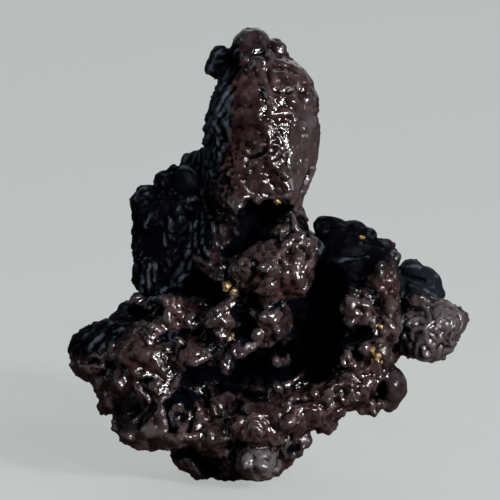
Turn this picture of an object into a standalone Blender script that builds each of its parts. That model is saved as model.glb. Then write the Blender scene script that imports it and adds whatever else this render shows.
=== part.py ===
# Dark knobbly stone specimen: lumps grown together, hollowed, and cut flat below
import math

import bmesh
import bpy
from mathutils import Matrix

MM = 0.001
# the lumps are placed as seen from the front, and leaned back by the height the eye looks from
LEAN = math.radians(10.0)
# the flat foot's middle, seen from the front, becomes the origin
FOOT_ACROSS = -3.5
FOOT_AWAY = 5.0
# the lumps are melted into one skin of this grain, smoothed, and thinned to this share of its facets
GRAIN = 0.8 * MM
SMOOTHING = 3
SMOOTHING_SHARE = 0.5
KEPT_SHARE = 0.17
# each lump is a sphere of this many subdivisions before it is stretched
ROUNDNESS = 3
# the block that cuts the foot flat reaches this far down and to all sides
FLOOR_REACH = 120.0 * MM

# each lump in mm: across, up, away, half width, half height, half depth, and its roll in degrees
# the mass behind the front lobes
CORE_LUMPS = [
    (2, 23, 8, 16, 13, 13, 0),
    (-12, 23, 6, 13, 10, 13, 0),
    (-4, 13, 6, 12.5, 10, 13, 0),
    (14, 25, 7, 9, 11, 12, 0),
    (-4, 35, 5, 12, 12, 11, 0),
]
# the lowest mass, cut flat further down
FOOT_MASS = [
    (-3.6, 6, 4, 8.2, 7, 11, 0),
    (-8, 5.5, 11, 6, 7, 7, 0),
    (1.2, 7.5, 9, 4.6, 6.5, 7, 0),
]
# the side away from the photograph
BACK_LUMPS = [
    (-13, 31, 13, 7, 8, 8.9, 10),
    (6, 33, 16, 9, 8, 7.9, -10),
    (-6, 19, 17, 9, 9, 7.9, 0),
    (15, 21.5, 13, 7, 6.5, 8.9, 0),
    (-21.5, 18.5, 6, 7, 6, 7.9, -10),
    (-9, 44, 8, 7, 8, 6.9, 0),
    (6.5, 15, 15, 7, 5.5, 6.9, 0),
    (1.6, 43, 8, 5, 7, 6.9, 0),
    (25.5, 26, 8, 5, 5.6, 5.9, 0),
    (-15, 11.5, 6, 7, 5, 7.9, 0),
]
# the tall rounded top
FINGER = [
    (-0.6, 57.5, 0.8, 8.7, 12, 8.3, 0),
    (0.9, 61.5, 2.2, 7.6, 8.2, 7.3, 0),
    (-1, 66.2, 3.4, 6, 5.2, 6.1, 0),
    (-1.4, 50, 0.5, 8.6, 8, 8.5, 0),
    (4.8, 55.5, 0.6, 4, 7.5, 6.3, 0),
    (3.4, 47, -2.2, 2.9, 4.5, 4.8, -8),
    (-4.1, 44.4, -4.5, 1.7, 5.4, 4.3, 4),
    (0.8, 56.5, 4, 6.5, 10, 6.8, 0),
]
# the knob, the small bump and the ear on the finger
KNOB = [
    (-2.5, 71.8, 1.8, 3.1, 3.1, 3.2, 0),
    (-3.2, 69.4, 1, 2.5, 3, 3, 30),
    (1.7, 71, 2.4, 1.7, 1.7, 1.9, 0),
    (-7.2, 69.8, 2.5, 1.7, 1.6, 1.9, 0),
    (-8, 68.1, 2.5, 1.7, 1.5, 1.8, 0),
    (-5.9, 67.7, 2.5, 2.1, 2, 2.2, 0),
    (-0.9, 67.6, -0.6, 1.9, 2.6, 2.2, -15),
]
# the dark domes left of the finger
SHOULDER = [
    (-14.5, 43, 5.5, 6.2, 6.5, 6.5, -20),
    (-14.5, 36.5, 4.5, 6.6, 6.8, 7, 0),
    (-11.5, 48, 5.5, 4, 4.5, 5, -30),
    (-12.9, 48.9, 2, 2.9, 2.8, 3, 0),
    (-12.3, 52.4, 3.5, 1.6, 1.5, 1.6, 0),
    (-10.6, 53.4, 3.5, 1.5, 1.3, 1.6, 0),
    (-14.8, 50.9, 4, 1.5, 1.2, 1.6, 0),
    (-16.1, 49.2, 3, 1.9, 1.9, 2.2, 0),
    (-19.4, 47.2, 3.5, 1.7, 1.5, 1.8, 0),
    (-20.2, 45.6, 2.5, 2, 1.9, 2.4, 0),
    (-19.4, 43.4, 2, 2.4, 2.4, 2.8, 0),
    (-20, 41.2, 3.5, 1.4, 1.4, 1.8, 0),
    (-19.6, 38.6, 3.5, 1.9, 2.4, 3, 0),
    (-19, 34.4, 2.5, 2.7, 4.2, 3.8, -8),
    (-17.3, 32.2, 2.5, 2.8, 2.6, 3.2, 0),
]
# the broad mass at the lower left
LEFT_LUMPS = [
    (-20.5, 19.5, -4, 9.5, 6.6, 8.4, -10),
    (-27, 21.2, -1, 4.6, 4.8, 6.4, 0),
    (-28.8, 20.5, -1, 3.2, 3.4, 4.9, 0),
    (-22.5, 25.6, -1, 3.2, 2.4, 4.4, 0),
    (-20.8, 29.3, 0, 1.3, 1.3, 1.9, 0),
    (-22.6, 27.8, 0, 1.5, 1.4, 2, 0),
    (-15.3, 27.2, -5, 2.6, 2.6, 3.6, 0),
    (-12.6, 25.8, -6, 2.6, 2.2, 3.4, 0),
    (-17.2, 24.6, -6, 3, 2.8, 3.6, 0),
    (-18.5, 12.8, -5, 6.6, 5.3, 7.4, 0),
    (-24.6, 14.4, -4, 2.6, 3.8, 4.9, 35),
    (-20.4, 21.2, -9, 2.4, 2.2, 3, 0),
    (-23.6, 16.6, -8.5, 2.4, 2.1, 3, 0),
    (-19.8, 17.4, -10, 2, 1.8, 2.6, 0),
    (-21, 8.4, -6, 4.2, 2.4, 5.4, -25),
    (-17.2, 10.8, -10.5, 1.5, 2.8, 2.8, 0),
    (-26, 12.2, -3, 1.3, 1.5, 2.4, 0),
    (-12, 20.4, -9, 3.2, 3, 4.4, 0),
    (-7.4, 26.6, -8, 3, 2.4, 4.4, 10),
    (-7.4, 23.6, -9, 1.6, 1.5, 2.6, 0),
    (-5.8, 29, -7.5, 1.7, 1.6, 2.6, 0),
]
# the low rim and the bottom lobe
RIM = [
    (-14.5, 7.6, -8, 4.5, 2.4, 5.7, -4),
    (-8.5, 7.4, -8, 3.8, 2.4, 5.2, 0),
    (-12, 10.2, -6, 2.6, 3, 4.3, 0),
    (-8.5, 11.5, -2.5, 2.8, 3.6, 5.7, 0),
    (-1.6, 9.4, -8.5, 5, 4.2, 6.3, 0),
    (3.6, 10.8, -8, 4.2, 3.8, 5.9, 10),
    (-1.5, 15.8, -8.5, 1.5, 1.8, 3.1, 0),
    (1.2, 14.8, -9, 1.9, 1.9, 3.3, 0),
    (4, 13.6, -8.5, 1.9, 1.8, 3.3, 0),
    (8.2, 12.4, -6, 4.6, 3.4, 6.1, 12),
    (9.8, 9.8, -6, 2.2, 1.9, 4.3, 10),
    (13.6, 15, -5, 4.2, 3.4, 5.9, 12),
    (16.8, 12.6, -4, 2.2, 1.8, 4.3, 0),
    (17, 17.4, -4, 3.6, 2.8, 5.2, 20),
    (20.9, 15.6, -3, 2.4, 3.4, 5.1, 5),
    (20.4, 12.8, -2.6, 1.7, 1.5, 3.7, 0),
    (-1.4, 3.6, -8, 3.6, 3.6, 6.2, 0),
    (4.2, 6, -7, 3.1, 2, 4.7, 38),
    (-9.5, 4.3, -2, 5.8, 3.9, 6.7, 0),
]
# the mass right of the cave
RIGHT_LUMPS = [
    (13.5, 36, 3, 6.4, 6.4, 7, 0),
    (18.6, 33.2, 1, 3.6, 5, 6, 10),
    (9.8, 41.6, 2, 1.9, 1.6, 2.6, 0),
    (12, 41.8, 2, 1.7, 1.5, 2.4, 0),
    (14.6, 41.4, 2, 1.7, 1.4, 2.4, 0),
    (16.9, 40, 0, 1.5, 1.5, 2, 0),
    (19.8, 38.4, 2, 1.7, 1.4, 2.4, 0),
    (21, 36.6, 1, 1.4, 1.4, 2, 0),
    (14.8, 27.6, -5, 3.2, 2.6, 4.5, 0),
    (20, 26, -2, 2.5, 4.8, 5, 0),
    (18.4, 20.8, -5, 3, 2.6, 4, 0),
    (11.8, 20, -6.5, 2.9, 2.2, 3.6, 15),
    (17, 24.2, -3, 3, 3, 4, 0),
    (15.4, 18.2, -5, 3, 2.4, 4, 0),
]
# the lobe at the far right
FAR_LUMPS = [
    (27, 24.8, 2, 5.2, 5.2, 6, 0),
    (30.2, 26.2, 2, 2.9, 2.6, 4.2, -15),
    (25.6, 31, 4, 3.8, 3.8, 5.2, -25),
    (24.4, 34.4, 4, 2.2, 1.8, 3.2, -20),
    (27.3, 33, 4, 2.1, 1.9, 3.2, -35),
    (28.6, 30.6, 4, 1.5, 1.4, 2.6, 0),
    (26.8, 21.8, 1, 3.4, 2.3, 4, 0),
    (32.2, 26.2, 2, 1.4, 1.3, 2.2, 0),
]
# the lump under the cave, the pillar and the limb, which stand in the hollows
INNER_LUMPS = [
    (1.2, 34.6, -7.5, 7, 4.6, 6.4, 0),
    (5.3, 37.4, -7.6, 3.3, 3.4, 4.6, 0),
    (-3.4, 34.4, -9, 3, 2.6, 3.2, -15),
    (0.2, 34.9, -11.2, 2.3, 2, 2.6, 0),
    (0.8, 31.6, -9.6, 2.9, 2, 3.4, 0),
    (5, 32.6, -9, 2.2, 2.2, 3, -15),
    (6.8, 35.4, -9.4, 1.7, 2.8, 2.6, -18),
    (8, 38.9, -8, 1.4, 1.5, 1.8, 0),
    (0.6, 26.4, -6, 2.8, 4.6, 4.2, 0),
    (-1.2, 24.2, -7.5, 1.5, 1.6, 2.2, 0),
    (1.8, 24.2, -7.8, 1.5, 1.3, 2, 0),
    (0.4, 29.6, -6.8, 2, 1.6, 2.8, 0),
    (-5.6, 31.4, -8.4, 1.5, 1.6, 2.6, -30),
    (-4.7, 21.4, -9.6, 2, 1.3, 1.8, 18),
    (-6, 20, -10, 1.3, 1.7, 1.7, -25),
    (-7.9, 20, -9.4, 1.1, 1.4, 1.6, -30),
    (2.1, 19.6, 1.5, 1.5, 1.3, 7, 0),
]
# the caves, pits and clefts, cut out of the lumps
HOLLOWS = [
    (-0.8, 43.3, -5, 3.6, 3.4, 8, 0),
    (2.6, 44, -5.5, 3, 1.6, 7, 0),
    (-1.2, 40.4, -5.5, 3, 2.2, 8, 20),
    (-4.4, 37.6, -7, 3.6, 1.5, 6, 12),
    (-8, 17.2, -8, 5.2, 2.6, 10, 12),
    (-2.6, 18.9, -7, 5.5, 3.6, 12, 0),
    (3.6, 20, -6, 5.4, 3.6, 12, 0),
    (8, 23.4, -5, 4.7, 7.2, 12, 0),
    (8.6, 30.5, -3, 4.5, 6.6, 9, 0),
    (-3.3, 26.5, -11, 1, 4.8, 8, 0),
    (-13.4, 14.1, -12, 3.1, 1.5, 6.5, 0),
    (-9, 31.8, -7, 4.6, 2.4, 7.5, -20),
    (14.6, 23.5, -8.6, 3.2, 1.4, 6.5, 0),
    (-8.6, 45.1, -7, 1.4, 2, 4, 0),
    (-19.8, 27.6, -6, 2.6, 1.4, 6, 10),
    (3.4, 34, -14, 0.9, 1.8, 3.4, -15),
    (22.3, 22, -4, 0.9, 3.4, 4, 5),
    (-12.2, 3.4, -8, 3, 1.5, 6.5, -10),
    (-9.6, 2.4, -8, 2.4, 1.7, 6, 0),
    (5, 6.7, -12, 2.2, 0.9, 4, 35),
    (-6, 12.8, -12, 3, 1.6, 4, -10),
    (-22, 11.2, -14.2, 3.6, 3.2, 4, 20),
    (-14.2, 40.4, -5, 2.4, 3, 4, 5),
    (-25.4, 18.4, -12, 2.4, 1.6, 3.4, 0),
]


def clear_scene():
    for item in list(bpy.data.objects):
        bpy.data.objects.remove(item, do_unlink=True)


def new_collection(name):
    collection = bpy.data.collections.new(name)
    bpy.context.scene.collection.children.link(collection)
    return collection


def lump_matrix(lump):
    across, up, away, half_wide, half_tall, half_deep, roll = lump
    size = Matrix.Diagonal((half_wide, half_deep, half_tall, 1.0))
    turn = Matrix.Rotation(-math.radians(roll), 4, "Y")
    shift = Matrix.Translation((across - FOOT_ACROSS, away, up))
    lean = Matrix.Rotation(-LEAN, 4, "X")
    back = Matrix.Translation((0.0, -FOOT_AWAY, 0.0))
    return Matrix.Scale(MM, 4) @ back @ lean @ shift @ turn @ size


def lump_object(name, lumps, collection):
    mesh = bpy.data.meshes.new(name)
    builder = bmesh.new()
    for lump in lumps:
        place = lump_matrix(lump)
        bmesh.ops.create_icosphere(builder, subdivisions=ROUNDNESS, radius=1.0, matrix=place)
    builder.to_mesh(mesh)
    builder.free()
    item = bpy.data.objects.new(name, mesh)
    collection.objects.link(item)
    return item


def add_modifier(item, name, kind, **settings):
    modifier = item.modifiers.new(name, kind)
    for key, value in settings.items():
        setattr(modifier, key, value)
    return modifier


def cutter_look(item):
    item.hide_render = True
    item.display_type = "WIRE"


def floor_block(collection):
    mesh = bpy.data.meshes.new("floor_block")
    builder = bmesh.new()
    middle = Matrix.Translation((0.0, 0.0, -FLOOR_REACH / 2.0))
    bmesh.ops.create_cube(builder, size=FLOOR_REACH, matrix=middle)
    builder.to_mesh(mesh)
    builder.free()
    item = bpy.data.objects.new("floor_block", mesh)
    collection.objects.link(item)
    return item


def stone_material():
    material = bpy.data.materials.new("stone_skin")
    material.use_nodes = True
    shader = material.node_tree.nodes["Principled BSDF"]
    shader.inputs["Base Color"].default_value = (0.045, 0.028, 0.027, 1.0)
    shader.inputs["Roughness"].default_value = 0.16
    shader.inputs["Coat Weight"].default_value = 0.6
    shader.inputs["Coat Roughness"].default_value = 0.06
    return material


def build():
    clear_scene()
    parts = new_collection("black_stone")
    cutters = new_collection("black_stone_cutters")
    outer = CORE_LUMPS + FOOT_MASS + BACK_LUMPS + FINGER + KNOB + SHOULDER
    outer = outer + LEFT_LUMPS + RIM + RIGHT_LUMPS + FAR_LUMPS
    stone = lump_object("stone", outer, parts)
    hollows = lump_object("hollow_lumps", HOLLOWS, cutters)
    inner = lump_object("inner_lumps", INNER_LUMPS, cutters)
    floor = floor_block(cutters)
    for item in (hollows, inner, floor):
        cutter_look(item)
    add_modifier(stone, "grow together", "REMESH", mode="VOXEL", voxel_size=GRAIN)
    add_modifier(hollows, "grow together", "REMESH", mode="VOXEL", voxel_size=GRAIN)
    add_modifier(inner, "grow together", "REMESH", mode="VOXEL", voxel_size=GRAIN)
    add_modifier(stone, "hollow out", "BOOLEAN", operation="DIFFERENCE", solver="EXACT", object=hollows)
    add_modifier(stone, "inner lumps", "BOOLEAN", operation="UNION", solver="EXACT", object=inner)
    add_modifier(stone, "one skin", "REMESH", mode="VOXEL", voxel_size=GRAIN)
    add_modifier(stone, "melt", "SMOOTH", factor=SMOOTHING_SHARE, iterations=SMOOTHING)
    add_modifier(stone, "fewer facets", "DECIMATE", ratio=KEPT_SHARE)
    add_modifier(stone, "flat foot", "BOOLEAN", operation="DIFFERENCE", solver="EXACT", object=floor)
    add_modifier(stone, "triangles", "TRIANGULATE")
    stone.data.materials.append(stone_material())
    stone.data.shade_smooth()


build()
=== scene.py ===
# Dark knobbly stone: one glossy skin of lumps, hollows, folds and knobs, with gold grains set in it
import math
import bpy
import numpy as np
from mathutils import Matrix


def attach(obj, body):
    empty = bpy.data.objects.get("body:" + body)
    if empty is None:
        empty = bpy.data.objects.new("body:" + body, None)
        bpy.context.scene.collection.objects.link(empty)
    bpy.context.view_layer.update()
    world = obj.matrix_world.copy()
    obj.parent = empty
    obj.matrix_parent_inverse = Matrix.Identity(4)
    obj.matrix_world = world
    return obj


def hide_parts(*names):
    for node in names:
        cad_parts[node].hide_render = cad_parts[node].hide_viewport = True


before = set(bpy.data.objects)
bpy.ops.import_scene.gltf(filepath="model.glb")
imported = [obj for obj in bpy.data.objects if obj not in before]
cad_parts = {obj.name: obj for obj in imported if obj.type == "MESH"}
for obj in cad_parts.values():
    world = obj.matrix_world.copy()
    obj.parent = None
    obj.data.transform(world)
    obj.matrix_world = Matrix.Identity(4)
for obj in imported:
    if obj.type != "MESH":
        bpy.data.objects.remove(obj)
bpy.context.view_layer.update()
print("frame loaded")

mm = 0.001
# everything below is placed as the eye sees it, in mm: across, up and away from it
eyeLean = math.radians(10.0)
footAcross, footAway = -3.5, 5.0    # the middle of the flat foot
farAway = 60.0                      # depth given to lines of sight that miss the stone


def toFrame(seen):
    # seen points (across, up, away) in mm, leaned back by the eye's height, to metres about the foot
    c, s = math.cos(eyeLean), math.sin(eyeLean)
    x = seen[:, 0] - footAcross
    y = seen[:, 2] * c + seen[:, 1] * s - footAway
    z = seen[:, 1] * c - seen[:, 2] * s
    return np.stack([x, y, z], -1) * mm


# the lumps: across, up, away, half width, half height, half depth, roll in degrees
lumps = {
    "core": [
        (2, 23, 8, 16, 13, 13, 0), (-12, 23, 6, 13, 10, 13, 0), (-4, 13, 6, 12.5, 10, 13, 0),
        (14, 25, 7, 9, 11, 12, 0), (-4, 35, 5, 12, 12, 11, 0),
    ],
    "foot": [(-3.6, 6, 4, 8.2, 7, 11, 0), (-8, 5.5, 11, 6, 7, 7, 0), (1.2, 7.5, 9, 4.6, 6.5, 7, 0)],
    "back": [
        (-13, 31, 13, 7, 8, 8, 10), (6, 33, 16, 9, 8, 7, -10), (-6, 19, 17, 9, 9, 7, 0),
        (15, 21.5, 13, 7, 6.5, 8, 0), (-21.5, 18.5, 6, 7, 6, 7, -10), (-9, 44, 8, 7, 8, 6, 0),
        (6.5, 15, 15, 7, 5.5, 6, 0), (1.6, 43, 8, 5, 7, 6, 0), (25.5, 26, 8, 5, 5.6, 5, 0),
        (-15, 11.5, 6, 7, 5, 7, 0),
    ],
    "finger": [
        (-0.6, 57.5, 0.8, 8.7, 12, 8, 0), (0.9, 61.5, 2.2, 7.6, 8.2, 7, 0),
        (-1, 66.2, 3.4, 6, 5.2, 5.8, 0), (-1.4, 50, 0.5, 8.6, 8, 8.2, 0),
        (4.8, 55.5, 0.6, 4, 7.5, 6, 0), (3.4, 47, -2.2, 2.9, 4.5, 4.5, -8),
        (-4.1, 44.4, -4.5, 1.7, 5.4, 4, 4), (0.8, 56.5, 4, 6.5, 10, 6.5, 0),
    ],
    "knob": [
        (-2.5, 71.8, 1.8, 3.1, 3.1, 3, 0), (-3.2, 69.4, 1, 2.5, 3, 2.8, 30),
        (1.7, 71, 2.4, 1.7, 1.7, 1.7, 0), (-7.2, 69.8, 2.5, 1.7, 1.6, 1.7, 0),
        (-8, 68.1, 2.5, 1.7, 1.5, 1.6, 0), (-5.9, 67.7, 2.5, 2.1, 2, 2, 0),
        (-0.9, 67.6, -0.6, 1.9, 2.6, 2, -15),
    ],
    "shoulder": [
        (-14.5, 43, 5.5, 6.2, 6.5, 6.5, -20), (-14.5, 36.5, 4.5, 6.6, 6.8, 7, 0),
        (-11.5, 48, 5.5, 4, 4.5, 5, -30), (-12.9, 48.9, 2, 2.9, 2.8, 3, 0),
        (-12.3, 52.4, 3.5, 1.6, 1.5, 1.6, 0), (-10.6, 53.4, 3.5, 1.5, 1.3, 1.6, 0),
        (-14.8, 50.9, 4, 1.5, 1.2, 1.6, 0), (-16.1, 49.2, 3, 1.9, 1.9, 2.2, 0),
        (-19.4, 47.2, 3.5, 1.7, 1.5, 1.8, 0), (-20.2, 45.6, 2.5, 2, 1.9, 2.4, 0),
        (-19.4, 43.4, 2, 2.4, 2.4, 2.8, 0), (-20, 41.2, 3.5, 1.4, 1.4, 1.8, 0),
        (-19.6, 38.6, 3.5, 1.9, 2.4, 3, 0), (-19, 34.4, 2.5, 2.7, 4.2, 3.8, -8),
        (-17.3, 32.2, 2.5, 2.8, 2.6, 3.2, 0),
    ],
    "left": [
        (-20.5, 19.5, -4, 9.5, 6.6, 8, -10), (-27, 21.2, -1, 4.6, 4.8, 6, 0),
        (-28.8, 20.5, -1, 3.2, 3.4, 4.5, 0), (-22.5, 25.6, -1, 3.2, 2.4, 4, 0),
        (-20.8, 29.3, 0, 1.3, 1.3, 1.5, 0), (-22.6, 27.8, 0, 1.5, 1.4, 1.6, 0),
        (-15.3, 27.2, -5, 2.6, 2.6, 3.2, 0), (-12.6, 25.8, -6, 2.6, 2.2, 3, 0),
        (-17.2, 24.6, -6, 3, 2.8, 3.2, 0), (-18.5, 12.8, -5, 6.6, 5.3, 7, 0),
        (-24.6, 14.4, -4, 2.6, 3.8, 4.5, 35), (-20.4, 21.2, -9, 2.4, 2.2, 2.6, 0),
        (-23.6, 16.6, -8.5, 2.4, 2.1, 2.6, 0), (-19.8, 17.4, -10, 2, 1.8, 2.2, 0),
        (-21, 8.4, -6, 4.2, 2.4, 5, -25), (-17.2, 10.8, -10.5, 1.5, 2.8, 2.4, 0),
        (-26, 12.2, -3, 1.3, 1.5, 2, 0), (-12, 20.4, -9, 3.2, 3, 4, 0),
        (-7.4, 26.6, -8, 3, 2.4, 4, 10), (-7.4, 23.6, -9, 1.6, 1.5, 2.2, 0),
        (-5.8, 29, -7.5, 1.7, 1.6, 2.2, 0),
    ],
    "rim": [
        (-14.5, 7.6, -8, 4.5, 2.4, 5, -4), (-8.5, 7.4, -8, 3.8, 2.4, 4.5, 0),
        (-12, 10.2, -6, 2.6, 3, 3.6, 0), (-8.5, 11.5, -2.5, 2.8, 3.6, 5, 0),
        (-1.6, 9.4, -8.5, 5, 4.2, 5.6, 0), (3.6, 10.8, -8, 4.2, 3.8, 5.2, 10),
        (-1.5, 15.8, -8.5, 1.5, 1.8, 2.4, 0), (1.2, 14.8, -9, 1.9, 1.9, 2.6, 0),
        (4, 13.6, -8.5, 1.9, 1.8, 2.6, 0), (8.2, 12.4, -6, 4.6, 3.4, 5.4, 12),
        (9.8, 9.8, -6, 2.2, 1.9, 3.6, 10), (13.6, 15, -5, 4.2, 3.4, 5.2, 12),
        (16.8, 12.6, -4, 2.2, 1.8, 3.6, 0), (17, 17.4, -4, 3.6, 2.8, 4.5, 20),
        (20.9, 15.6, -3, 2.4, 3.4, 4.4, 5), (20.4, 12.8, -2.6, 1.7, 1.5, 3, 0),
        (-1.4, 3.6, -8, 3.6, 3.6, 5.5, 0), (4.2, 6, -7, 3.1, 2, 4, 38),
        (-9.5, 4.3, -2, 5.8, 3.9, 6, 0),
    ],
    "right": [
        (13.5, 36, 3, 6.4, 6.4, 7, 0), (18.6, 33.2, 1, 3.6, 5, 6, 10),
        (9.8, 41.6, 2, 1.9, 1.6, 2.6, 0), (12, 41.8, 2, 1.7, 1.5, 2.4, 0),
        (14.6, 41.4, 2, 1.7, 1.4, 2.4, 0), (16.9, 40, 0, 1.5, 1.5, 2, 0),
        (19.8, 38.4, 2, 1.7, 1.4, 2.4, 0), (21, 36.6, 1, 1.4, 1.4, 2, 0),
        (14.8, 27.6, -5, 3.2, 2.6, 4.5, 0), (20, 26, -2, 2.5, 4.8, 5, 0),
        (18.4, 20.8, -5, 3, 2.6, 4, 0), (11.8, 20, -6.5, 2.9, 2.2, 3.6, 15),
        (17, 24.2, -3, 3, 3, 4, 0), (15.4, 18.2, -5, 3, 2.4, 4, 0),
    ],
    "far": [
        (27, 24.8, 2, 5.2, 5.2, 5.8, 0), (30.2, 26.2, 2, 2.9, 2.6, 4, -15),
        (25.6, 31, 4, 3.8, 3.8, 5, -25), (24.4, 34.4, 4, 2.2, 1.8, 3, -20),
        (27.3, 33, 4, 2.1, 1.9, 3, -35), (28.6, 30.6, 4, 1.5, 1.4, 2.4, 0),
        (26.8, 21.8, 1, 3.4, 2.3, 3.8, 0), (32.2, 26.2, 2, 1.4, 1.3, 2, 0),
    ],
}
# what is taken out of them, and the smaller lumps that are then put back inside, in the same measures
hollows = [
    (-0.8, 43.3, -5, 3.6, 3.4, 8, 0), (2.6, 44, -5.5, 3, 1.6, 7, 0), (-1.2, 40.4, -5.5, 3, 2.2, 8, 20),
    (-4.4, 37.6, -7, 3.6, 1.5, 6, 12), (-8, 17.2, -8, 5.2, 2.6, 10, 12),
    (-2.6, 18.9, -7, 5.5, 3.6, 12, 0), (3.6, 20, -6, 5.4, 3.6, 12, 0), (8, 23.4, -5, 4.7, 7.2, 12, 0),
    (8.6, 30.5, -3, 4.5, 6.6, 9, 0), (-3.3, 26.5, -11, 1, 4.8, 8, 0),
    (-13.4, 14.1, -12, 3.1, 1.5, 6.5, 0), (-15.9, 11.8, -12.5, 0.6, 3.2, 5, 6),
    (-9, 31.8, -7, 4.6, 2.4, 7.5, -20), (14.6, 23.5, -8.6, 3.2, 1.4, 6.5, 0),
    (-8.6, 45.1, -7, 1.4, 2, 4, 0), (-19.8, 27.6, -6, 2.6, 1.4, 6, 10),
    (3.4, 34, -14, 0.9, 1.8, 3.4, -15), (22.3, 22, -4, 0.9, 3.4, 4, 5),
    (-12.2, 3.4, -8, 3, 1.5, 6.5, -10), (-9.6, 2.4, -8, 2.4, 1.7, 6, 0),
    (5, 6.7, -12, 2.2, 0.9, 4, 35), (-6, 12.8, -12, 3, 1.6, 4, -10),
]
dishes = [    # shallow ones
    (-22, 11.2, -14.2, 3.6, 3.2, 4, 20), (-14.2, 40.4, -5, 2.4, 3, 4, 5),
    (-25.4, 18.4, -12, 2.4, 1.6, 3.4, 0),
]
innerLumps = [
    (3.3, 41, -7.2, 1.7, 0.8, 2.4, 24), (4.8, 42.4, -8, 0.6, 2.2, 2, 38),
    (-1.6, 46.4, -7.6, 1.1, 0.7, 1.6, 0), (1.2, 34.6, -7.5, 7, 4.6, 6.4, 0),
    (5.3, 37.4, -7.6, 3.3, 3.4, 4.6, 0), (-3.4, 34.4, -9, 3, 2.6, 3.2, -15),
    (0.2, 34.9, -11.2, 2.3, 2, 2.6, 0), (0.8, 31.6, -9.6, 2.9, 2, 3.4, 0),
    (5, 32.6, -9, 2.2, 2.2, 3, -15), (6.8, 35.4, -9.4, 1.7, 2.8, 2.6, -18),
    (8, 38.9, -8, 1.4, 1.5, 1.8, 0), (0.6, 26.4, -6, 2.8, 4.6, 4.2, 0),
    (-1.2, 24.2, -7.5, 1.5, 1.6, 2.2, 0), (1.8, 24.2, -7.8, 1.5, 1.3, 2, 0),
    (0.4, 29.6, -6.8, 2, 1.6, 2.8, 0), (-5.6, 31.4, -8.4, 1.5, 1.6, 2.6, -30),
    (-7.4, 33.6, -7, 1.6, 0.9, 2.4, -25), (-3, 22.2, -9, 1.5, 0.8, 1.6, 5),
    (-4.7, 21.4, -9.6, 2, 1.3, 1.8, 18), (-6, 20, -10, 1.3, 1.7, 1.7, -25),
    (-5.9, 18.5, -10.2, 0.8, 1, 1.3, 0), (-7.9, 20, -9.4, 1.1, 1.4, 1.6, -30),
    (2.1, 19.6, 1.5, 1.5, 1.3, 7, 0),
]
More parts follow.
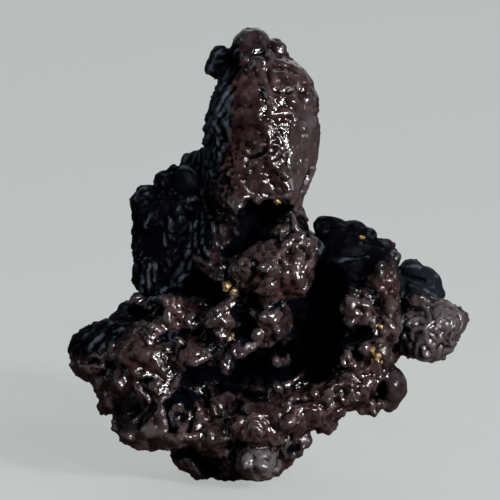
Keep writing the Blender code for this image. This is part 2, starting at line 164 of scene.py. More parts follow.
# nodules seated in the skin that faces the eye: across, up, half width, half height, how proud, roll
nodules = {
    "finger": [
        (-1.2, 67.9, 1.4, 1.5, 0.6, 0), (0.7, 69.3, 0.8, 1.3, 0.5, -15),
        (-3.3, 69.2, 1.1, 1.3, 0.5, 0), (-1.2, 70.9, 1.2, 1, 0.5, 0), (4.2, 62, 1, 0.9, 0.3, 0),
        (3, 60, 1.2, 0.9, 0.35, 0), (4.4, 59.7, 0.9, 0.9, 0.3, 0), (5.5, 58.2, 0.8, 1, 0.25, -30),
        (0.7, 56, 0.8, 1.4, 0.35, 0), (2.4, 55.6, 0.8, 1.3, 0.35, -15), (-1.1, 55.2, 1, 1, 0.3, 0),
        (3.1, 46.9, 1.3, 0.8, 0.5, 15), (0.6, 54, 0.6, 0.6, 0.35, 0), (1.7, 53.9, 0.6, 0.6, 0.35, 0),
        (0.4, 52.6, 0.6, 0.7, 0.35, 0), (1.5, 52.7, 0.7, 0.6, 0.35, 0), (2.6, 52.6, 0.7, 0.7, 0.35, 0),
        (0.8, 51.4, 0.7, 0.7, 0.35, 0), (2.1, 51.3, 0.7, 0.8, 0.35, 0), (3, 50.6, 0.6, 0.6, 0.3, 0),
        (1.2, 50, 0.7, 0.5, 0.3, 0), (-3.2, 47.4, 0.9, 0.9, 0.5, 0), (-1.5, 48.8, 0.9, 0.8, 0.4, 0),
        (-3.6, 52.9, 1, 1, 0.3, 0), (-0.4, 50.2, 1.2, 1.1, 0.35, 0), (-0.7, 46.6, 0.8, 0.6, 0.4, 0),
        (0.9, 46.7, 0.8, 0.6, 0.4, 0), (-6.4, 40.3, 1.7, 2, 0.9, 0), (-3.9, 39.4, 1.2, 1.4, 0.6, 20),
    ],
    "bulge": [
        (-3.6, 34.8, 2, 1.8, 0.8, -20), (0.2, 34.7, 1.6, 1.5, 0.9, 0), (0.4, 31.7, 1.9, 1.5, 0.6, 0),
        (-3, 32, 1.4, 1.1, 0.4, 0), (4, 32, 1.1, 1.6, 0.5, -10), (5.9, 32.8, 1.2, 2, 0.4, -20),
        (4.4, 36.6, 1.6, 1.4, 0.4, 0), (3, 38, 1.3, 1, 0.4, 40), (6, 39.4, 1.4, 1.1, 0.4, 0),
        (1.8, 30.2, 1.2, 0.9, 0.4, 0),
    ],
    "middle": [
        (-5.9, 29, 1.6, 1.5, 0.8, 0), (-7.6, 27.6, 1.4, 1.1, 0.6, 0), (-9, 25.9, 1.2, 1, 0.5, 0),
        (-5, 26.8, 1.2, 1.1, 0.5, 0), (-7.4, 23.9, 1.3, 1.2, 0.7, 0), (-9.9, 24.2, 0.9, 0.9, 0.5, 0),
        (-1.5, 23.8, 0.9, 0.8, 0.4, 0), (2.2, 24.5, 1, 0.9, 0.5, 0), (0, 26.8, 1.5, 1.4, 0.5, 0),
        (2, 27.4, 1.3, 1.4, 0.5, 0), (2.1, 22.4, 1.2, 0.8, 0.5, -15), (-1.8, 27.4, 0.7, 1.6, 0.4, 0),
    ],
    "left": [
        (-15.5, 28, 1.9, 1.7, 0.7, 0), (-13, 26.8, 1.4, 1.5, 0.6, 0), (-16.3, 25.9, 1.2, 1.1, 0.5, 0),
        (-14.2, 25, 1, 0.9, 0.4, 0), (-18.9, 24, 1.4, 1.5, 0.5, 0), (-20, 21.2, 2, 1.8, 0.7, 0),
        (-17.2, 21.6, 1.1, 1.5, 0.5, 0), (-15, 19.4, 1.1, 1.1, 0.5, 0), (-17, 18, 1.4, 1.2, 0.5, 0),
        (-20.3, 18, 1.5, 1.5, 0.6, 0), (-23.2, 19.2, 1.6, 1.5, 0.5, 0), (-23.9, 16, 1.3, 1.7, 0.7, 0),
        (-26.6, 16.6, 1.3, 1.2, 0.5, 0), (-28.6, 18.8, 1.6, 0.8, 0.4, 0),
        (-11.5, 19.9, 2.3, 2.1, 0.8, 0), (-14, 22.6, 1.1, 0.9, 0.4, 0),
        (-15.6, 16.4, 1.4, 0.8, 0.5, 40), (-13.4, 17.2, 1.2, 1, 0.4, 0), (-18.6, 15, 1, 1.4, 0.5, 0),
        (-18.4, 8.9, 1.7, 2.3, 1.7, -50), (-21.4, 8, 1.6, 0.9, 0.8, 30),
        (-17.4, 12.2, 0.9, 1.4, 0.4, 0), (-24.8, 13.4, 0.9, 1.6, 0.5, 15),
        (-12.2, 23.4, 1.2, 1, 0.4, 0),
    ],
    "rim": [
        (-14.5, 12.2, 0.9, 1.4, 0.6, 0), (-11.3, 11.9, 1.1, 1, 0.7, 0), (-11, 9, 1.4, 1.5, 0.7, 0),
        (-9.2, 7.2, 1.3, 1.1, 0.6, 0), (-7.3, 7.4, 1.3, 1.2, 0.7, 0), (-12, 7, 1.3, 0.7, 0.5, 0),
        (-14.5, 7.1, 1, 0.8, 0.5, 0), (-7.6, 4.8, 1.1, 0.8, 0.6, 0), (-5, 9.3, 1.1, 0.9, 0.5, 0),
        (-1.4, 8.4, 1.9, 1.7, 0.6, 0), (1.8, 7.6, 1.6, 1.7, 0.6, 0), (-3.9, 7.2, 1.5, 0.9, 0.4, 0),
        (-3.2, 11, 1.2, 0.8, 0.4, 0), (0.4, 11.3, 1.2, 0.9, 0.5, 0), (2.9, 11.4, 0.9, 0.9, 0.5, 0),
        (4.4, 10.8, 1.1, 1.1, 0.9, 0), (0.9, 13.1, 1, 1, 0.6, 0), (2.8, 13.8, 1, 1.1, 0.6, 0),
        (4.3, 13.7, 0.6, 1.2, 0.6, 0), (-1.5, 15.8, 1, 1.6, 0.8, 15), (1, 15.4, 1.1, 1.2, 0.8, 0),
        (-3.6, 13.8, 1.3, 1, 0.4, 0), (6.6, 14.2, 0.8, 0.9, 0.5, 0), (8.4, 14.3, 0.9, 0.9, 0.5, 0),
        (9.8, 12.8, 0.9, 0.8, 0.4, 0), (8.2, 10.6, 1.9, 1.4, 0.5, -30), (9.6, 9, 1.7, 1.1, 0.6, 0),
        (11.6, 10.9, 1.2, 1, 0.5, 0), (-2.9, 3, 1.1, 1.3, 0.5, 0), (-0.6, 3.2, 1.4, 1.2, 0.5, 0),
    ],
    "right": [
        (13.8, 26, 1.3, 1.2, 0.6, 0), (15.8, 26.1, 1.1, 0.9, 0.5, 0), (17.3, 26, 0.9, 1, 0.5, 0),
        (14.2, 28.6, 1.7, 1.4, 0.6, 0), (16.6, 28.8, 1.2, 1.2, 0.5, 0), (12.9, 24.8, 1, 0.6, 0.4, 0),
        (11.3, 19.6, 1.6, 1.8, 0.7, 0), (13.3, 20, 1.2, 1.5, 0.6, 0), (8.2, 19.2, 1.2, 1.1, 0.6, 0),
        (16.6, 21.3, 1.2, 1.2, 0.6, 0), (18.8, 20.9, 1.2, 1.3, 0.5, 0), (18.6, 23, 1.2, 0.9, 0.5, 0),
        (20, 25.2, 1.2, 1.3, 0.6, 0), (19.2, 32.8, 1.5, 2, 0.4, 0), (18.8, 35, 1.3, 1.2, 0.5, 0),
        (16.5, 16.6, 1.2, 1, 0.6, 0), (13.8, 16.2, 0.8, 0.8, 0.5, 0), (12.4, 15.8, 0.8, 0.9, 0.5, 0),
        (11.4, 15.1, 0.8, 0.7, 0.5, 0), (12.8, 13.6, 0.9, 0.9, 0.5, 0), (14.4, 13.8, 0.9, 0.9, 0.5, 0),
        (16.3, 13.9, 0.6, 1.3, 0.5, 0), (18, 15.8, 0.6, 0.9, 0.5, 0), (10.2, 14.2, 0.9, 0.8, 0.4, 0),
        (15.6, 11.7, 1, 0.9, 0.6, 0), (17.8, 11.3, 1.1, 0.8, 0.6, 0), (20.2, 12.4, 1.6, 0.8, 0.5, 0),
    ],
    "far": [
        (22.6, 30.9, 1.2, 1.4, 0.6, 0), (24.4, 29.8, 1.1, 1.1, 0.5, 0), (26.3, 29.6, 1.1, 1, 0.5, 0),
        (23.6, 28.2, 1.2, 0.9, 0.5, 0), (24.6, 25.8, 1.4, 1.2, 0.6, 0), (27, 24.8, 1.4, 1.3, 0.5, 0),
        (29.9, 24.9, 1.1, 1.6, 0.5, 0), (28.6, 26.4, 1.1, 0.9, 0.5, 0), (26, 22.8, 1, 0.9, 0.4, 0),
        (28.8, 23, 1, 0.9, 0.4, 0), (27.4, 21.2, 1.2, 0.9, 0.4, 0), (24.4, 21.9, 0.9, 0.8, 0.4, 0),
        (22.8, 21.8, 0.9, 0.9, 0.4, 0), (31.6, 25.8, 0.9, 0.7, 0.4, 0),
    ],
}
# pits sunk in the same skin: across, up, half width, half height, how deep, roll
pits = [
    (-1, 53.3, 0.9, 0.45, 1.6, 25), (-1.9, 52.7, 0.7, 0.35, 1.2, -20), (-12.4, 44.2, 0.9, 0.9, 2.5, 0),
    (-1.4, 35.8, 1.5, 0.45, 1.6, 18), (-6.3, 49.6, 1.2, 0.9, 1.2, 0), (0.9, 23.2, 0.9, 0.7, 1.6, 0),
    (-19.7, 16.5, 1.2, 0.6, 1.6, 10), (-13.3, 21.8, 1.4, 0.5, 1.6, 20), (-27, 17.4, 0.9, 0.5, 0.9, 0),
    (-28.4, 20.1, 1.8, 0.4, 1.4, -5), (-12.7, 9.6, 0.4, 1.8, 1.6, -20), (-11.7, 24.5, 1, 0.6, 1.4, 20),
    (-16.8, 23.5, 0.9, 0.5, 1, 30), (-4.4, 5.8, 1.4, 0.5, 2, 0), (4.9, 3.2, 2, 0.8, 2.4, 38),
    (6.8, 12.9, 1.9, 0.45, 2, 0), (25, 33, 2.4, 0.35, 1.4, -18), (29.6, 30.2, 0.8, 0.35, 0.8, -20),
    (23.3, 24, 0.8, 0.5, 0.9, 20), (-9.8, 13.5, 1.6, 0.8, 1.2, -40), (3, 16.6, 0.9, 0.7, 1.2, 0),
    (-6, 11, 0.5, 1.6, 1.4, -15), (18.3, 15, 0.9, 2, 2.4, -10),
]
# how the skin is built from them, in mm
stone = {
    # the grid that it is worked out on, and the distance that the grid starts from
    "low": (-35.0, -4.0, -21.0), "high": (36.0, 78.0, 27.0), "step": 0.32, "far": 6.0,
    # how lumps melt into one another: a share of the least half size, between two limits
    "meltShare": 0.45, "leastMelt": 0.35, "mostMelt": 2.0,
    "hollowMelt": 0.6, "innerMelt": 0.5, "seatMelt": 0.5, "footMelt": 0.6,
    # how far the grid is worked on round each lump, and round each nodule or pit
    "margin": 3.5, "seatMargin": 2.0,
    # what the heights of the nodules are multiplied by, in some groups and in the others
    "rise": {"left": 1.15, "finger": 1.2, "far": 1.1}, "otherRise": 1.5,
    # how far two bends push each kind of shape, their sizes, and the share of the short one
    "bend": {"lumps": 0.35, "hollows": 1.6, "inner": 0.8, "nodules": 0.9, "pits": 1.0},
    "longBend": 3.2, "shortBend": 1.5, "shortShare": 0.4,
}


def smoothUnion(a, b, melt):
    # the lesser of two distances, less a quarter of melt times the square of the share of melt that the
    # gap between them leaves
    h = np.maximum(melt - np.abs(a - b), 0) / melt
    return np.minimum(a, b) - h * h * melt * 0.25


def smoothStep(t):
    # three times t squared less twice t cubed, with t held between 0 and 1
    t = np.clip(t, 0, 1)
    return t * t * (3 - 2 * t)


def lumpDistance(x, y, z, lump):
    # near-distance to an ellipsoid: length in its own units, times itself less one, over its gradient
    across, up, away, halfWide, halfTall, halfDeep, roll = lump
    c, s = math.cos(math.radians(roll)), math.sin(math.radians(roll))
    px, py, pz = x - across, y - up, z - away
    qx, qy, qz = (px * c + py * s) / halfWide, (py * c - px * s) / halfTall, pz / halfDeep
    k0 = np.sqrt(qx * qx + qy * qy + qz * qz) + 1e-6
    k1 = np.sqrt((qx / halfWide) ** 2 + (qy / halfTall) ** 2 + (qz / halfDeep) ** 2) + 1e-6
    return k0 * (k0 - 1) / k1


def frontDepths(field, low, step):
    # the depth at which a line of sight through each grid column first meets the skin
    inside = field < 0
    hit = inside.any(2)
    first = np.clip(inside.argmax(2), 1, None)
    i, j = np.indices(hit.shape)
    after, before = field[i, j, first], field[i, j, first - 1]
    depth = low[2] + (first - after / np.minimum(after - before, -1e-6)) * step
    return np.where(hit, depth, farAway)


def depthAt(depths, low, step, across, up):
    # the middle value of the nine columns round a place
    i, j = int(round((across - low[0]) / step)), int(round((up - low[1]) / step))
    return float(np.median(depths[i - 1:i + 2, j - 1:j + 2]))


def softNoise(count, step, size, seed):
    # random values a size apart, blended smoothly between them along each side of the grid in turn
    values = np.random.default_rng(seed).uniform(-1, 1, [int(n * step / size) + 3 for n in count])
    for axis in range(3):
        t = np.arange(count[axis]) * step / size
        low = t.astype(int)
        values = np.moveaxis(values, axis, -1)
        share = smoothStep(t - low)
        values = values[..., low] * (1 - share) + values[..., low + 1] * share
        values = np.moveaxis(values, -1, axis)
    return values.astype(np.float32)


def buildField():
    # one distance field on a grid of seen coordinates: lumps melted together, hollows taken out, inner
    # lumps added, then nodules and pits seated where the line of sight meets what is there
    low, high, step = np.array(stone["low"]), np.array(stone["high"]), stone["step"]
    count = ((high - low) / step).astype(int) + 1
    axes = [(low[i] + np.arange(count[i]) * step).astype(np.float32) for i in range(3)]
    field = np.full(count, stone["far"], np.float32)
    seatedPits = []
    longBends = [softNoise(count, step, stone["longBend"], 5 + i) for i in range(3)]
    shortBends = [softNoise(count, step, stone["shortBend"], 15 + i) for i in range(3)]
    wander = [long + stone["shortShare"] * short for long, short in zip(longBends, shortBends)]

    def blend(lump, melt, sign, bend, margin=stone["margin"]):
        reach = max(lump[3], lump[4])
        size = np.array([reach, reach, lump[5]]) + margin
        first = np.clip(((np.array(lump[:3]) - size - low) / step).astype(int), 0, count)
        last = np.clip(((np.array(lump[:3]) + size - low) / step).astype(int) + 2, 0, count)
        part = tuple(slice(a, b) for a, b in zip(first, last))
        x = axes[0][part[0]][:, None, None] + stone["bend"][bend] * wander[0][part]
        y = axes[1][part[1]][None, :, None] + stone["bend"][bend] * wander[1][part]
        z = axes[2][part[2]][None, None, :] + stone["bend"][bend] * wander[2][part]
        field[part] = sign * smoothUnion(sign * field[part], lumpDistance(x, y, z, lump), melt)

    for group in lumps.values():
        for lump in group:
            melt = np.clip(min(lump[3:6]) * stone["meltShare"], stone["leastMelt"], stone["mostMelt"])
            blend(lump, float(melt), 1, "lumps")
    for hollow in hollows + dishes:
        blend(hollow, stone["hollowMelt"], -1, "hollows")
    for lump in innerLumps:
        blend(lump, stone["innerMelt"], 1, "inner")
    depths = frontDepths(field, low, step)
    for name, group in nodules.items():
        rise = stone["rise"].get(name, stone["otherRise"])
        for across, up, halfWide, halfTall, proud, roll in group:
            depth = depthAt(depths, low, step, across, up)
            deep = max(halfWide, halfTall, proud * rise)
            lump = (across, up, depth + deep - proud * rise, halfWide, halfTall, deep, roll)
            blend(lump, stone["seatMelt"], 1, "nodules", stone["seatMargin"])
    depths = frontDepths(field, low, step)
    for across, up, halfWide, halfTall, deep, roll in pits:
        pit = (across, up, depthAt(depths, low, step, across, up), halfWide, halfTall, deep, roll)
        blend(pit, stone["seatMelt"], -1, "pits", stone["seatMargin"])
        seatedPits.append(pit)
    # cut flat at height 0
    height = axes[1][None, :, None] * math.cos(eyeLean) - axes[2][None, None, :] * math.sin(eyeLean)
    field = -smoothUnion(-field, np.broadcast_to(height, field.shape), stone["footMelt"])
    return field, low, step, seatedPits, wander


def sampleField(seen):
    # the field at any points, blended between the eight grid corners round each
    place = np.clip((seen - gridLow) / gridStep, 0, np.array(field.shape) - 1.001)
    base = place.astype(int)
    f = place - base
    total = np.zeros(len(seen))
    for i in (0, 1):
        for j in (0, 1):
            for k in (0, 1):
                weight = np.abs(1 - i - f[:, 0]) * np.abs(1 - j - f[:, 1]) * np.abs(1 - k - f[:, 2])
                total += weight * field[base[:, 0] + i, base[:, 1] + j, base[:, 2] + k]
    return total


def surfaceNet(field, low, step):
    # one point in each cell that the skin passes through, at the mean of its edge crossings,
    # and one four-sided face round each grid edge whose ends lie on two sides of the skin
    inside = field < 0
    corners = [(i, j, k) for i in (0, 1) for j in (0, 1) for k in (0, 1)]
    n = np.array(inside.shape) - 1
    full = sum(inside[i:n[0] + i, j:n[1] + j, k:n[2] + k].astype(np.int8) for i, j, k in corners)
    active = (full > 0) & (full < 8)
    cells = np.argwhere(active)
    number = np.full(active.shape, -1, np.int64)
    number[active] = np.arange(len(cells))
    total, hits = np.zeros((len(cells), 3)), np.zeros(len(cells))
    for a in corners:
        for b in corners:
            if sum(b) - sum(a) != 1 or any(q < p for p, q in zip(a, b)):
                continue
            fa, fb = field[tuple((cells + a).T)], field[tuple((cells + b).T)]
            cross = (fa < 0) != (fb < 0)
            t = np.where(cross, fa / np.where(cross, fa - fb, 1), 0)[:, None]
            total += cross[:, None] * (np.array(a) + t * (np.array(b) - np.array(a)))
            hits += cross
    points = low + (cells + total / hits[:, None]) * step
    faces = []
    for axis in range(3):
        u, v = (axis + 1) % 3, (axis + 2) % 3
        start = [slice(1, None)] * 3
        start[axis] = slice(0, -1)
        end = list(start)
        end[axis] = slice(1, None)
        a, b = inside[tuple(start)], inside[tuple(end)]
        at = np.argwhere(a != b)
        outward = a[tuple(at.T)]
        at = at + np.array([0 if i == axis else 1 for i in range(3)])
        stepU, stepV = np.eye(3, dtype=int)[u], np.eye(3, dtype=int)[v]
        ring = [at, at - stepU, at - stepU - stepV, at - stepV]
        quad = np.stack([number[tuple(r.T)] for r in ring], 1)
        quad[~outward] = quad[~outward][:, ::-1]
        faces.append(quad)
    return points, np.concatenate(faces)


def largestBody(points, faces):
    # only the points joined by faces to the most others: each takes the least number among the corners
    # of its faces, and then that number's own number, until nothing changes
    name = np.arange(len(points))
    while True:
        least = name.copy()
        np.minimum.at(least, faces.ravel(), np.repeat(name[faces].min(1), 4))
        least = least[least]
        if (least == name).all():
            break
        name = least
    keep = name == np.bincount(name).argmax()
    place = np.cumsum(keep) - 1
    print("loose points left out", int((~keep).sum()))
    return points[keep], place[faces[keep[faces[:, 0]]]]


def pointNormals(points, faces):
    # each face's area-weighted normal, added at its points and made one long
    a, b, c, d = (points[faces[:, i]] for i in range(4))
    cross = np.cross(c - a, d - b)
    n = len(points)
    out = np.stack([np.bincount(faces.ravel(), np.repeat(cross[:, i], 4), n) for i in range(3)], 1)
    return out / np.maximum(np.linalg.norm(out, axis=1), 1e-9)[:, None]


def evenOut(points, faces, rounds, amount):
    # each point moves part of the way to the mean of its face neighbours
    n = len(points)
    for _ in range(rounds):
        ahead = faces[:, [1, 2, 3, 0]].ravel()
        total = np.stack([np.bincount(faces.ravel(), points[ahead, i], n) for i in range(3)], 1)
        back = faces[:, [3, 0, 1, 2]].ravel()
        total += np.stack([np.bincount(faces.ravel(), points[back, i], n) for i in range(3)], 1)
        hits = np.bincount(faces.ravel(), minlength=n) * 2
        points = points + amount * (total / hits[:, None] - points)
    return points


def hashed(cell, seed):
    # a repeatable random number from 0 to 1 for each whole-numbered cell: its three numbers and the seed
    # times large primes, mixed by shifts and products
    h = cell[..., 0] * 73856093 ^ cell[..., 1] * 19349663 ^ cell[..., 2] * 83492791 ^ seed * 2654435761
    h = (h & 0xFFFFFFFF).astype(np.uint64)
    h = (h ^ (h >> 15)) * 2246822519 & 0xFFFFFFFF
    h = (h ^ (h >> 13)) * 3266489917 & 0xFFFFFFFF
    return (h ^ (h >> 16)).astype(np.float64) / 4294967295.0


def smoothNoise(p, seed):
    # random slopes at whole-numbered points, blended between them, about -1 to 1
    base = np.floor(p).astype(np.int64)
    f = p - base
    w = f * f * f * (f * (f * 6 - 15) + 10)
    total = np.zeros(len(p))
    for i in (0, 1):
        for j in (0, 1):
            for k in (0, 1):
                cell = base + (i, j, k)
                turn, rise = hashed(cell, seed) * 2 * math.pi, hashed(cell, seed + 57) * 2 - 1
                flat = np.sqrt(1 - rise * rise)
                d = f - (i, j, k)
                slope = np.cos(turn) * flat * d[:, 0] + np.sin(turn) * flat * d[:, 1] + rise * d[:, 2]
                weight = np.abs(1 - i - w[:, 0]) * np.abs(1 - j - w[:, 1]) * np.abs(1 - k - w[:, 2])
                total += weight * slope
    return total * 1.6


def nearestSeeds(p, seed):
    # distances to the nearest and second nearest of one random point a cell, and a number of the nearest
    jitter = 0.9    # how much of its cell each point may lie in
    base = np.floor(p).astype(np.int64)
    first, second, name = np.full(len(p), 9.0), np.full(len(p), 9.0), np.zeros(len(p))
    for i in (-1, 0, 1):
        for j in (-1, 0, 1):
            for k in (-1, 0, 1):
                cell = base + (i, j, k)
                spot = np.stack([hashed(cell, seed + q) for q in range(3)], 1)
                d = np.linalg.norm(cell + 0.5 + (spot - 0.5) * jitter - p, axis=1)
                closer = d < first
                second = np.where(closer, first, np.minimum(second, d))
                name = np.where(closer, spot[:, 0], name)
                first = np.where(closer, d, first)
    return first, second, name


field, gridLow, gridStep, seatedPits, wander = buildField()
depths = frontDepths(field, gridLow, gridStep)
points, faces = largestBody(*surfaceNet(field, gridLow, gridStep))
points = evenOut(points, faces, 2, 0.5)
print("skin", len(points), "points", len(faces), "faces")

# zones of the skin: across, up, away, half width, half height, half depth, roll
zones = {
    "flank": (-9.8, 60, 2, 5, 12, 20, 0),
    "finger": (2, 57, -2, 8, 16, 12, 0),
    "shoulder": (-16, 41, 2, 9, 13, 14, 0),
    "knob": (-2.2, 71.5, -1, 4.2, 4, 5, 0),
    "wrinkled": (-5.8, 52.2, -6, 4, 4, 8, 0),
    "beads": (1.7, 54.2, -8, 3, 5.4, 8, -5),
    "upper": (1.5, 66, -2, 8, 6.5, 12, 0),
    "sheenless": (-8.6, 60, 2, 6.4, 13, 20, 0),
    "leftTop": (-27, 24.8, 0, 7, 5, 14, 15),
    "rightTop": (12.5, 37.5, 3, 9, 7.5, 14, 0),
    "farTop": (26, 33.4, 4, 6, 4, 9, -20),
    "farFront": (27, 23.5, -1, 6.5, 6, 8, 0),
    "knobSide": (-7, 69, 0, 3.5, 4, 8, 0),
    "smooth": (6.4, 53.5, -2, 3, 9, 9, 0),
    "lobe": (-1.2, 2.8, -8, 4, 3.2, 8, 0),
    "lip": (-19, 8, -10, 3.6, 1.9, 8, -28),
    "sliver": (-9.3, 35.3, -5, 3, 0.8, 10, -27),
    "veil": (5.8, 42.8, -6, 2.2, 4.4, 8, 32),
    "dome": (-12.6, 49.2, 0, 2.6, 2.4, 8, 0),
    "sideDome": (-18, 39.2, 0, 2.4, 2.6, 9, 0),
    "greyKnob": (21.2, 16, -4, 2.6, 4.4, 8, 0),
    "dimple": (-22.4, 11.3, -12, 3.6, 3.3, 6, 20),
}

# redder patches, in the same measures
embers = [
    (-4.4, 34, -9, 2.2, 2.6, 7, 0), (-5.8, 52.2, -6, 3.6, 3.2, 8, 0), (-2, 9.4, -10, 4.6, 2.4, 8, 0),
    (-9, 12, -4, 1.8, 3, 9, 0), (-15.4, 28, -7, 2.4, 2, 8, 0), (-28, 18.6, -3, 3, 1.2, 8, 5),
    (3, 31.2, -10, 4, 1.6, 8, 0), (7.2, 13.6, -8, 2.4, 1.4, 8, 0), (-20.6, 20.6, -9, 2.6, 2.2, 8, 0),
    (12, 19.8, -6, 3, 2.4, 9, 0), (17.3, 40.5, 0, 1.3, 1.2, 9, 0), (19.6, 32, -2, 2.2, 3.6, 9, 0),
    (-6, 3, -6, 2, 3, 8, 0), (23.6, 30.6, -1, 2, 1.6, 9, 0), (16, 16.8, -6, 2.2, 1.2, 8, 0),
]

